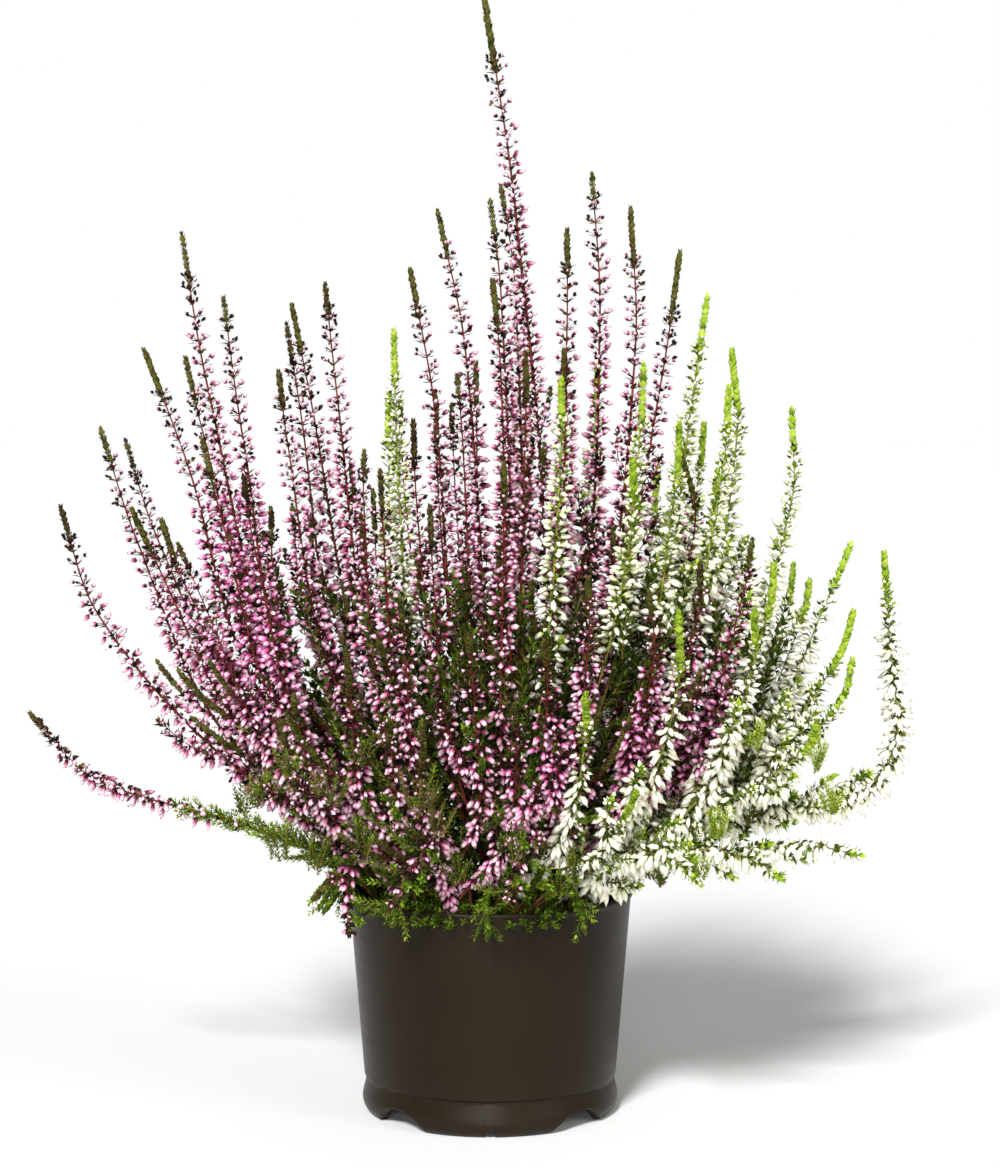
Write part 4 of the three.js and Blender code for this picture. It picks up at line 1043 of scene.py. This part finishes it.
def ramp(tree, source, stops):
    """Colours run evenly from stop to stop, each of them (place, colour), along the source."""
    node = tree.nodes.new("ShaderNodeValToRGB")
    while len(node.color_ramp.elements) < len(stops):
        node.color_ramp.elements.new(0.5)
    for e, (at, colour) in zip(node.color_ramp.elements, stops):
        e.position, e.color = at, (*colour, 1)
    tree.links.new(source, node.inputs["Fac"])
    return node.outputs["Color"]


def noise(tree, scale, detail, stretch=None):
    """Noise over Object coordinates, which are metres in the part's frame."""
    where = tree.nodes.new("ShaderNodeTexCoord").outputs["Object"]
    if stretch:
        turn = tree.nodes.new("ShaderNodeMapping")
        turn.inputs["Scale"].default_value = stretch
        tree.links.new(where, turn.inputs["Vector"])
        where = turn.outputs["Vector"]
    node = tree.nodes.new("ShaderNodeTexNoise")
    node.inputs["Scale"].default_value = scale
    node.inputs["Detail"].default_value = detail
    tree.links.new(where, node.inputs["Vector"])
    return node.outputs["Fac"]


def maths(tree, op, a, b, c=None):
    """One sum or product of numbers and sockets, as Blender names it."""
    node = tree.nodes.new("ShaderNodeMath")
    node.operation = op
    for n, v in enumerate((a, b, c)):
        if v is None:
            continue
        if isinstance(v, (int, float)):
            node.inputs[n].default_value = v
        else:
            tree.links.new(v, node.inputs[n])
    return node.outputs[0]


def mixed(tree, share, a, b):
    """a where the share is 0, b where it is 1."""
    node = tree.nodes.new("ShaderNodeMix")
    node.data_type = "RGBA"
    for n, v in ((0, share), (6, a), (7, b)):
        if isinstance(v, (int, float)):
            node.inputs[n].default_value = v
        elif isinstance(v, tuple):
            node.inputs[n].default_value = (*v, 1)
        else:
            tree.links.new(v, node.inputs[n])
    return node.outputs[2]


def grown(tree):
    """The four numbers that each point carries: height in its shape, random, ripe, hue."""
    node = tree.nodes.new("ShaderNodeAttribute")
    node.attribute_name = "grow"
    split = tree.nodes.new("ShaderNodeSeparateColor")
    tree.links.new(node.outputs["Color"], split.inputs["Color"])
    return split.outputs[0], split.outputs[1], split.outputs[2], node.outputs["Alpha"]


def bump(tree, shader, height, distance, strength):
    """Fine relief on the shader, as deep as distance in metres."""
    node = tree.nodes.new("ShaderNodeBump")
    node.inputs["Distance"].default_value = distance
    node.inputs["Strength"].default_value = strength
    tree.links.new(height, node.inputs["Height"])
    tree.links.new(node.outputs["Normal"], shader.inputs["Normal"])


def bud_material(name, young, ripe, deep):
    """Petals: a ramp up the bud for young ones, another for ripe ones, and deeper colour where
    the hue says so, each moved a little by the bud's own random number and by fine noise."""
    m, tree, shader = fresh(name)
    height, chance, old, hue = grown(tree)
    mottle = noise(tree, 900, 2)
    up = maths(tree, "ADD", height, maths(tree, "MULTIPLY_ADD", mottle, 0.3, -0.15))
    up = maths(tree, "ADD", up, maths(tree, "MULTIPLY_ADD", chance, 0.36, -0.18))
    base = mixed(tree, old, ramp(tree, up, young), ramp(tree, up, ripe))
    far = maths(tree, "MULTIPLY", hue, maths(tree, "MULTIPLY_ADD", chance, 0.9, 0.3))
    base = mixed(tree, far, base, ramp(tree, up, deep))
    finish_of(tree, shader, base, {
        "Roughness": 0.45, "Specular IOR Level": 0.35,
        "Subsurface Weight": 0.12, "Subsurface Radius": (0.0012, 0.0008, 0.0008),
    })
    bump(tree, shader, noise(tree, 1600, 2), 0.0003, 0.5)
    return m


def leaf_material():
    """Scale leaves: browns and olive along the first half of the hue, then dark moss to lime,
    moved a little by the leaf's own random number, by its height and by fine noise."""
    m, tree, shader = fresh("scale_leaf")
    height, chance, _, hue = grown(tree)
    blur = maths(tree, "MULTIPLY_ADD", noise(tree, 260, 3), 0.16, -0.08)
    at = maths(tree, "ADD", hue, blur)
    at = maths(tree, "ADD", at, maths(tree, "MULTIPLY_ADD", chance, 0.1, -0.05))
    at = maths(tree, "ADD", at, maths(tree, "MULTIPLY_ADD", height, 0.07, -0.03))
    finish_of(tree, shader, ramp(tree, at, LEAF_COLOURS), {
        "Roughness": 0.7, "Specular IOR Level": 0.07,
        "Subsurface Weight": 0.06, "Subsurface Radius": (0.0006, 0.0009, 0.0003),
    })
    bump(tree, shader, noise(tree, 1400, 2), 0.0002, 0.5)
    return m


def wood_material():
    """Stems: red-brown under the pink flowers, yellow-green under the white ones, and orange-brown
    bark low down, with fine streaks along the stem."""
    m, tree, shader = fresh("stem_bark")
    _, _, low, hue = grown(tree)
    streak = noise(tree, 900, 3, (1, 1, 0.12))
    red, green, bark = (ramp(tree, streak, WOOD_COLOURS[kind]) for kind in ("red", "green", "bark"))
    base = mixed(tree, low, mixed(tree, hue, red, green), bark)
    finish_of(tree, shader, base, {"Roughness": 0.65, "Specular IOR Level": 0.15})
    bump(tree, shader, streak, 0.0004, 0.8)
    return m


def pot_material():
    """Dark brown plastic: a satin skin with faint clouding, fine drag marks round the wall and a
    little dust near the foot."""
    m, tree, shader = fresh("pot_plastic")
    cloud = noise(tree, 22, 4)
    fine = noise(tree, 900, 2)
    drag = noise(tree, 60, 3, (0.25, 0.25, 9))
    base = ramp(tree, cloud, POT_COLOURS)
    where = tree.nodes.new("ShaderNodeTexCoord")
    split = tree.nodes.new("ShaderNodeSeparateXYZ")
    tree.links.new(where.outputs["Object"], split.inputs["Vector"])
    low = maths(tree, "MULTIPLY_ADD", split.outputs["Z"], -40.0, 0.9)
    low = maths(tree, "MAXIMUM", low, 0.0)
    dust = maths(tree, "MULTIPLY", low, maths(tree, "MULTIPLY", cloud, 0.16))
    base = mixed(tree, dust, base, DUST)
    finish_of(tree, shader, base, {"Specular IOR Level": 0.14})
    rough = maths(tree, "MULTIPLY_ADD", drag, 0.16, 0.30)
    tree.links.new(rough, shader.inputs["Roughness"])
    bump(tree, shader, mixed(tree, 0.5, fine, drag), 0.00008, 0.6)
    return m


def peat_material():
    """Moist peat: crumbs from near black to brown, with pale fibres."""
    m, tree, shader = fresh("peat")
    crumb = noise(tree, 420, 6)
    fibre = noise(tree, 700, 4, (1, 0.15, 1))
    base = ramp(tree, crumb, PEAT_COLOURS)
    straw = maths(tree, "GREATER_THAN", fibre, 0.66)
    base = mixed(tree, maths(tree, "MULTIPLY", straw, 0.6), base, STRAW)
    finish_of(tree, shader, base, {"Roughness": 0.95})
    bump(tree, shader, crumb, 0.0012, 0.9)
    return m


# The pot, in millimetres

FIRST_ARCH = 135  # bearing, in degrees; the other three follow at right angles
ARCH_RADIUS = 46.0
ARCH = [(-13.6, 0), (-12.6, 0.5), (-9.5, 3.3), (-6.5, 5.4), (-3.0, 6.6), (0, 7.0), (3.0, 6.7),
        (7, 5.6), (10, 3.2), (12.8, 0.4), (13.6, 0)]  # (place across the arch, height)
NICK = 2.0  # half width and height of the nick in a lug
LUG_RADIUS = 44.6
FOOT = [(0, 44.5), (0.5, 45.2), (1.4, 46.0), (2.6, 46.7), (3.8, 47.0), (4.8, 47.1), (5.6, 47.0),
        (5.9, 46.86), (6.4, 46.9), (8.0, 46.5), (9.6, 46.1), (11.2, 45.75), (12.2, 45.5),
        (12.5, 45.55), (13.0, 46.15), (13.4, 46.4)]  # outside of the foot, (height, radius)
UNDER = [(0, 6), (20, 6), (41.0, 6), (41.6, 5.9)]  # below the floor, (radius, height)
WALL_LOW, WALL_HIGH = (46.4, 13.4), (51.75, 78.2)  # the wall outside, (radius, height)
WALL_RINGS = (14.2, 24, 36, 48, 60, 70, 76, 78.2)
LIP_AND_INSIDE = [
    (51.85, 78.7), (52.15, 79.05), (52.42, 79.4), (52.5, 79.9), (52.45, 80.4), (52.25, 80.78),
    (51.9, 81.0), (51.3, 81.0), (50.95, 80.85), (50.7, 80.5), (50.55, 79.8), (50.3, 77.5),
    (49.3, 66.0), (47.6, 44.0), (46.0, 24.0), (45.2, 14.2), (44.7, 11.5), (43.9, 8.4),
    (43.0, 7.75), (41.5, 7.6), (20, 7.6), (0, 7.6),
]  # (radius, height)
DRAIN_RADIUS, DRAIN_AT = 3.5, 27  # a drain hole, and its distance from the axis


def foot_edge(angle):
    """How high the foot's lower edge is at each bearing: four arches between the lugs, and a
    small square nick in the middle of each lug."""
    across, height = np.array(ARCH, float).T
    edge = np.zeros_like(angle)
    for k in range(4):
        turn = angle - np.radians(FIRST_ARCH + 90 * k)
        arch = np.interp(-ARCH_RADIUS * np.sin(turn), across, height)
        edge = np.where(np.cos(turn) > 0, np.maximum(edge, arch), edge)
        turn = angle - np.radians(90 * k)
        nick = (np.abs(LUG_RADIUS * np.sin(turn)) < NICK) & (np.cos(turn) > 0)
        edge = np.where(nick, np.maximum(edge, NICK), edge)
    return edge


def closed_turn(rings, angle, name, sharp):
    """A surface turned about Z: each ring is (radius, height) at every bearing, all rings are
    joined to the next, and the first and the last shrink to one pole each. Edges sharper than
    sharp degrees stay so."""
    columns = [np.stack([r * np.cos(angle), r * np.sin(angle), z], axis=1) for r, z in rings]
    columns = np.stack(columns, axis=1)
    m, n, _ = columns.shape
    body = columns[:, 1:-1].reshape(-1, 3)
    k = n - 2
    i = np.arange(m)[:, None] * k
    j = np.arange(k - 1)[None]
    nxt = (np.arange(m) + 1)[:, None] % m * k
    quads = np.stack([i + j, nxt + j, nxt + j + 1, i + j + 1], axis=-1).reshape(-1, 4)
    faces = quads.tolist()
    low, high = len(body), len(body) + 1
    verts = np.concatenate([body, [columns[0, 0]], [columns[0, -1]]])
    for a in range(m):
        b = (a + 1) % m
        faces.append((low, b * k, a * k))
        faces.append((high, a * k + k - 1, b * k + k - 1))
    made = bpy.data.meshes.new(name)
    made.from_pydata(((verts + AXIS) * MM).tolist(), [], faces)
    made.polygons.foreach_set("use_smooth", np.ones(len(made.polygons), bool))
    made.update()
    made.set_sharp_from_angle(angle=math.radians(sharp))
    return made


def pot_mesh():
    """The wall turned about Z: under the floor, round the foot ring whose lower edge follows the
    arches, out over the lugs, in at the step, up the tapered wall, over the rolled lip and down
    inside to the floor."""
    angle = np.radians(np.arange(0, 360, 1.5))
    nick = math.degrees(math.asin(NICK / LUG_RADIUS))
    extra = [90 * k + s * (nick + e) for k in range(4) for s in (-1, 1) for e in (-0.02, 0.02)]
    angle = np.unique(np.concatenate([angle, np.radians(np.array(extra) % 360)]))
    edge = foot_edge(angle)
    one = np.ones_like(angle)
    foot_z, foot_r = np.array(FOOT, float).T
    rings = [(r * one, z * one) for r, z in UNDER]
    rings.append((42.3 * one, np.minimum(edge + 0.25, 5.95)))
    rings.append((42.6 * one, np.minimum(edge, 5.98)))
    rings.append((np.interp(edge, foot_z, foot_r) - 0.35, edge))
    (low_r, low_z), (high_r, high_z) = WALL_LOW, WALL_HIGH
    for share in np.linspace(0, 1, 18):
        z = edge + 0.25 + (low_z - edge - 0.25) * share
        rings.append((np.interp(z, foot_z, foot_r), z))
    for z in WALL_RINGS:
        rings.append(((low_r + (z - low_z) * (high_r - low_r) / (high_z - low_z)) * one, z * one))
    rings += [(r * one, z * one) for r, z in LIP_AND_INSIDE]
    return closed_turn(rings, angle, "pot_dressed", 32)


def drained(pot):
    """Four drain holes, cut through the floor."""
    cutters = []
    for k in range(4):
        bpy.ops.mesh.primitive_cylinder_add(vertices=32, radius=DRAIN_RADIUS * MM, depth=6 * MM)
        hole = bpy.context.object
        a = math.radians(FIRST_ARCH + 90 * k)
        hole.location = (AXIS + (DRAIN_AT * math.cos(a), DRAIN_AT * math.sin(a), 7)) * MM
        cutters.append(hole)
    for hole in cutters:
        cut = pot.modifiers.new("drain", "BOOLEAN")
        cut.operation, cut.object, cut.solver = "DIFFERENCE", hole, "EXACT"
    bpy.context.view_layer.update()
    done = bpy.data.meshes.new_from_object(pot.evaluated_get(bpy.context.evaluated_depsgraph_get()))
    pot.modifiers.clear()
    pot.data = done
    for hole in cutters:
        bpy.data.objects.remove(hole, do_unlink=True)


def waves(x, y, rng, sizes):
    """Bumps: a sum of sines in random directions, each with the wavelength and height given."""
    z = np.zeros_like(x)
    for length, height in sizes:
        for _ in range(5):
            a, f = rng.random(2) * 2 * np.pi
            k = 2 * np.pi / (length * rng.uniform(0.75, 1.3))
            z += height * np.sin(k * (x * math.cos(a) + y * math.sin(a)) + f) / 2
    return z


# The peat: waves of its top as (length, height), and the seed of their directions
PEAT_WAVES = [(26, 0.8), (9, 0.5), (3.4, 0.32)]
PEAT_SEED = 77


def soil_mesh():
    """The root ball: a turned body just inside the pot's wall, whose top is raised by waves of
    three sizes and falls a little at its edge."""
    angle = np.radians(np.arange(0, 360, 2.5))
    one = np.ones_like(angle)

    def side(z):
        """The radius at a height: that of the pot inside, less the room between them."""
        return 45.2 + (z - 14.2) / 65.6 * 5.3 - 0.4

    under = ((0, 8.2), (30, 8.2), (42.4, 8.2), (side(14.2), 14.2))
    rings = [(r * one, z * one) for r, z in under]
    rings += [(side(z) * one, z * one) for z in (26, 40, 54, 66, 69.4)]
    for r in np.append(np.linspace(side(71.0) - 0.3, 1.5, 44), 0):
        same = np.random.default_rng(PEAT_SEED)
        rise = waves(r * np.cos(angle), r * np.sin(angle), same, PEAT_WAVES)
        z = SOIL_TOP - 0.4 + rise * smooth(0, 3, r) - 1.2 * smooth(38, 49, r)
        rings.append((r * one, z if r else z.mean() * one))
    return closed_turn(rings, angle, "peat_dressed", 180)


def piece(name, mesh, slot, *nodes):
    """A visible piece, riding on the root in place of the nodes named. The slot is not used."""
    thing = bpy.data.objects.new(name, mesh)
    bpy.context.scene.collection.objects.link(thing)
    if nodes:
        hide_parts(*nodes)
    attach(thing, "root")
    return thing


# Making everything

# How spikes grow. In millimetres along a spike: its bare foot, where its side spikes begin and
# how far apart they are. As shares: how far apart its clusters are and how full, how far up the
# side spikes go, how long they are, how much they rise, stray and lean to the front, how late the
# buds ripen, how much they thin out inside the plant, and how much deeper the pink is.
USUAL = dict(
    bare=12, first_side=42, side_pace=24, dense=1.0, full=0.85, side_share=0.56, side_long=1.0,
    side_lift=0.5, side_stray=0.1, side_front=0.12, ripen=1.0, thinned=1.0, deeper=0.0,
    side_shoot=False, mossy=False,
)

# What differs on some sprays, by how their names begin. A later line holds over an earlier one.
DIFFERENT = [
    ("white_", dict(full=1.0)),
    ("white_arch white_low_ pink_over_rim pink_left_rim",
     dict(tip=3.0, first_side=26, side_share=0.72, side_long=0.5, ripen=0.3, lowest=30)),
    ("white_arch white_low_", dict(side_pace=9, side_lift=0.1)),
    ("pink_over_rim pink_left_rim",
     dict(side_pace=14, side_lift=0.0, full=1.0, dense=0.72, deep=0.25)),
    ("white_arch", dict(tip=13, side_share=0.55, ripen=0.45, dense=0.72, side_pace=7)),
    ("back", dict(full=0.6, dense=1.25, side_pace=60)),
    ("pink_front", dict(tone=0.46)),
    ("pink_front pink_left_front white_front white_low_front white_right_front",
     dict(lowest=86, first_side=30, side_pace=17, side_lift=0.35)),
    ("white_right", dict(side_pace=15, side_share=0.66)),
    ("white_low_ white_right_low white_right_front", dict(dense=0.85, side_stray=0.7)),
    ("white_front white_centre white_left", dict(side_pace=60, side_long=0.6)),
    ("white_right_first", dict(lowest=172, side_pace=60)),
    ("pink_right", dict(thinned=0.3, side_pace=15)),
    ("pink_right pink_front_right",
     dict(first_side=30, side_share=0.62, side_front=0.55, side_lift=0.8, deeper=0.1)),
    ("pink_right_inner pink_front_right", dict(side_pace=7.8, dense=0.86)),
    ("pink_left_low", dict(mossy=True, whorls=False, tip=6, deep=0.0, lowest=110, first_side=900,
                           ripen=0.7, dense=0.75)),
]

# Seeds of the spikes' own values, of the first spray's shapes, and of the foliage pieces
LOOK_SEED, FIRST_SEED = 991, 1000
FOLIAGE = (
    ("rim_foliage", rim_foliage, 8),
    ("heart_foliage", heart_foliage, 9),
    ("leafy_tufts", tufts, 10),
)

spikes = part(branches())
order = list(dict.fromkeys(s["node"] for s in spikes))
look = drawn(LOOK_SEED)
for s in spikes:
    ready(s)
    name, white = s["node"], s["colour"] == "white"
    s.update(USUAL, rand=look(), room=fullness(s) + 0.4, lowest=s["flowers"] - 8, whorls=not white)
    longest_tip = 0.22 * s["length"]
    s["tip"] = min(8 + 10 * look() ** 1.5 + (6 if white else 0), longest_tip)
    s["tone"] = 0.26 + 0.2 * look()
    if look() < 0.3 and not white:
        s["tip"], s["tone"] = min(s["tip"] + 6, longest_tip), 0.45
    if s["length"] > TALL:
        s["tip"], s["tone"] = 24, 0.42
    s["deep"] = 0.05 + 0.25 * look()
    for beginnings, values in DIFFERENT:
        if name.startswith(tuple(beginnings.split())):
            s.update(values)
    if name.startswith("pink_front"):
        s["tip"] = 8 + 5 * s["rand"]
    # One spike of each of these two sprays is plainer than the other
    tip_x = s["seen"][-1, 0]
    if name == "white_centre" and tip_x > 40:
        s.update(lowest=172, side_pace=60)
    if name == "white_right_front" and tip_x < 80:
        s.update(side_pace=60, side_stray=0.1)
    s["deep"] += s["deeper"]

leaf, wood = leaf_material(), wood_material()
bud_pink = bud_material("bud_pink", **PINK_PETALS)
bud_white = bud_material("bud_white", **WHITE_PETALS)
for name, grow, seed in FOLIAGE:
    heap = grow(np.random.default_rng(seed))
    piece(name, heap.mesh(name, [leaf, leaf, wood]), "foliage")
for number, name in enumerate(order):
    heap = Heap()
    rng = np.random.default_rng(FIRST_SEED + number)
    mine = [s for s in spikes if s["node"] == name]
    for s in mine:
        dress(s, heap, rng)
    colour = mine[0]["colour"]
    petals = bud_white if colour == "white" else bud_pink
    slot = {"pink": "pink_flowers", "white": "white_flowers", "leafy": "foliage"}[colour]
    piece(name + "_dressed", heap.mesh(name + "_dressed", [petals, leaf, wood]), slot, name)

pot = piece("pot_dressed", pot_mesh(), "pot", "pot")
drained(pot)
pot.data.materials.append(pot_material())
peat = piece("peat_dressed", soil_mesh(), "soil", "soil")
peat.data.materials.append(peat_material())

# Floor, light and camera

FLOOR_COLOUR = (0.93, 0.93, 0.925, 1)
BACKDROP_LIGHT, DOME_LIGHT = 1.0, 0.25  # what the camera sees, and what falls on the plant
FRAME_HEIGHT = 1168.0  # of the photograph, in pixels
FOCAL_PIXELS = 2615.0
FILM = 36.0
CAMERA_AT = (3.65, -955, 251)
CAMERA_TILT = 3.46  # degrees below level

bpy.ops.mesh.primitive_circle_add(vertices=96, radius=30, fill_type="NGON")
floor = bpy.context.object
floor.name = "floor"
floor_look, _, floor_shader = fresh("floor")
floor_shader.inputs["Base Color"].default_value = FLOOR_COLOUR
floor_shader.inputs["Roughness"].default_value = 0.9
floor.data.materials.append(floor_look)

world = bpy.data.worlds.new("studio")
bpy.context.scene.world = world
world.use_nodes = True
sky = world.node_tree
backdrop = sky.nodes["Background"]
dome = sky.nodes.new("ShaderNodeBackground")
for light, strength in ((backdrop, BACKDROP_LIGHT), (dome, DOME_LIGHT)):
    light.inputs["Color"].default_value = (1.0, 1.0, 1.0, 1)
    light.inputs["Strength"].default_value = strength
ray, pick = sky.nodes.new("ShaderNodeLightPath"), sky.nodes.new("ShaderNodeMixShader")
sky.links.new(ray.outputs["Is Camera Ray"], pick.inputs[0])
sky.links.new(dome.outputs[0], pick.inputs[1])
sky.links.new(backdrop.outputs[0], pick.inputs[2])
sky.links.new(pick.outputs[0], sky.nodes["World Output"].inputs["Surface"])


def sun(name, way, strength, angle):
    """A far lamp that shines along way, as soft as its angle in degrees."""
    data = bpy.data.lights.new(name, "SUN")
    data.energy, data.angle = strength, math.radians(angle)
    thing = bpy.data.objects.new(name, data)
    flat = math.hypot(way[0], way[1])
    thing.rotation_euler = (math.atan2(flat, -way[2]), 0, math.atan2(-way[0], way[1]))
    bpy.context.scene.collection.objects.link(thing)


sun("key", (0.3, 1.0, -0.9), 3.7, 12)
sun("front", (0.05, 1.0, -0.15), 1.15, 25)
sun("side", (-1.0, 0.7, -0.5), 0.6, 25)

lens = bpy.data.cameras.new("camera")
lens.sensor_fit = "VERTICAL"
lens.sensor_height = FILM
lens.sensor_width = FILM
lens.lens = FOCAL_PIXELS * FILM / FRAME_HEIGHT
lens.clip_start, lens.clip_end = 0.05, 200
camera = bpy.data.objects.new("camera", lens)
camera.location = (AXIS + CAMERA_AT) * MM
camera.rotation_euler = (math.radians(90 - CAMERA_TILT), 0, 0)
bpy.context.scene.collection.objects.link(camera)
bpy.context.scene.camera = camera
bpy.context.scene.view_settings.view_transform = "Standard"
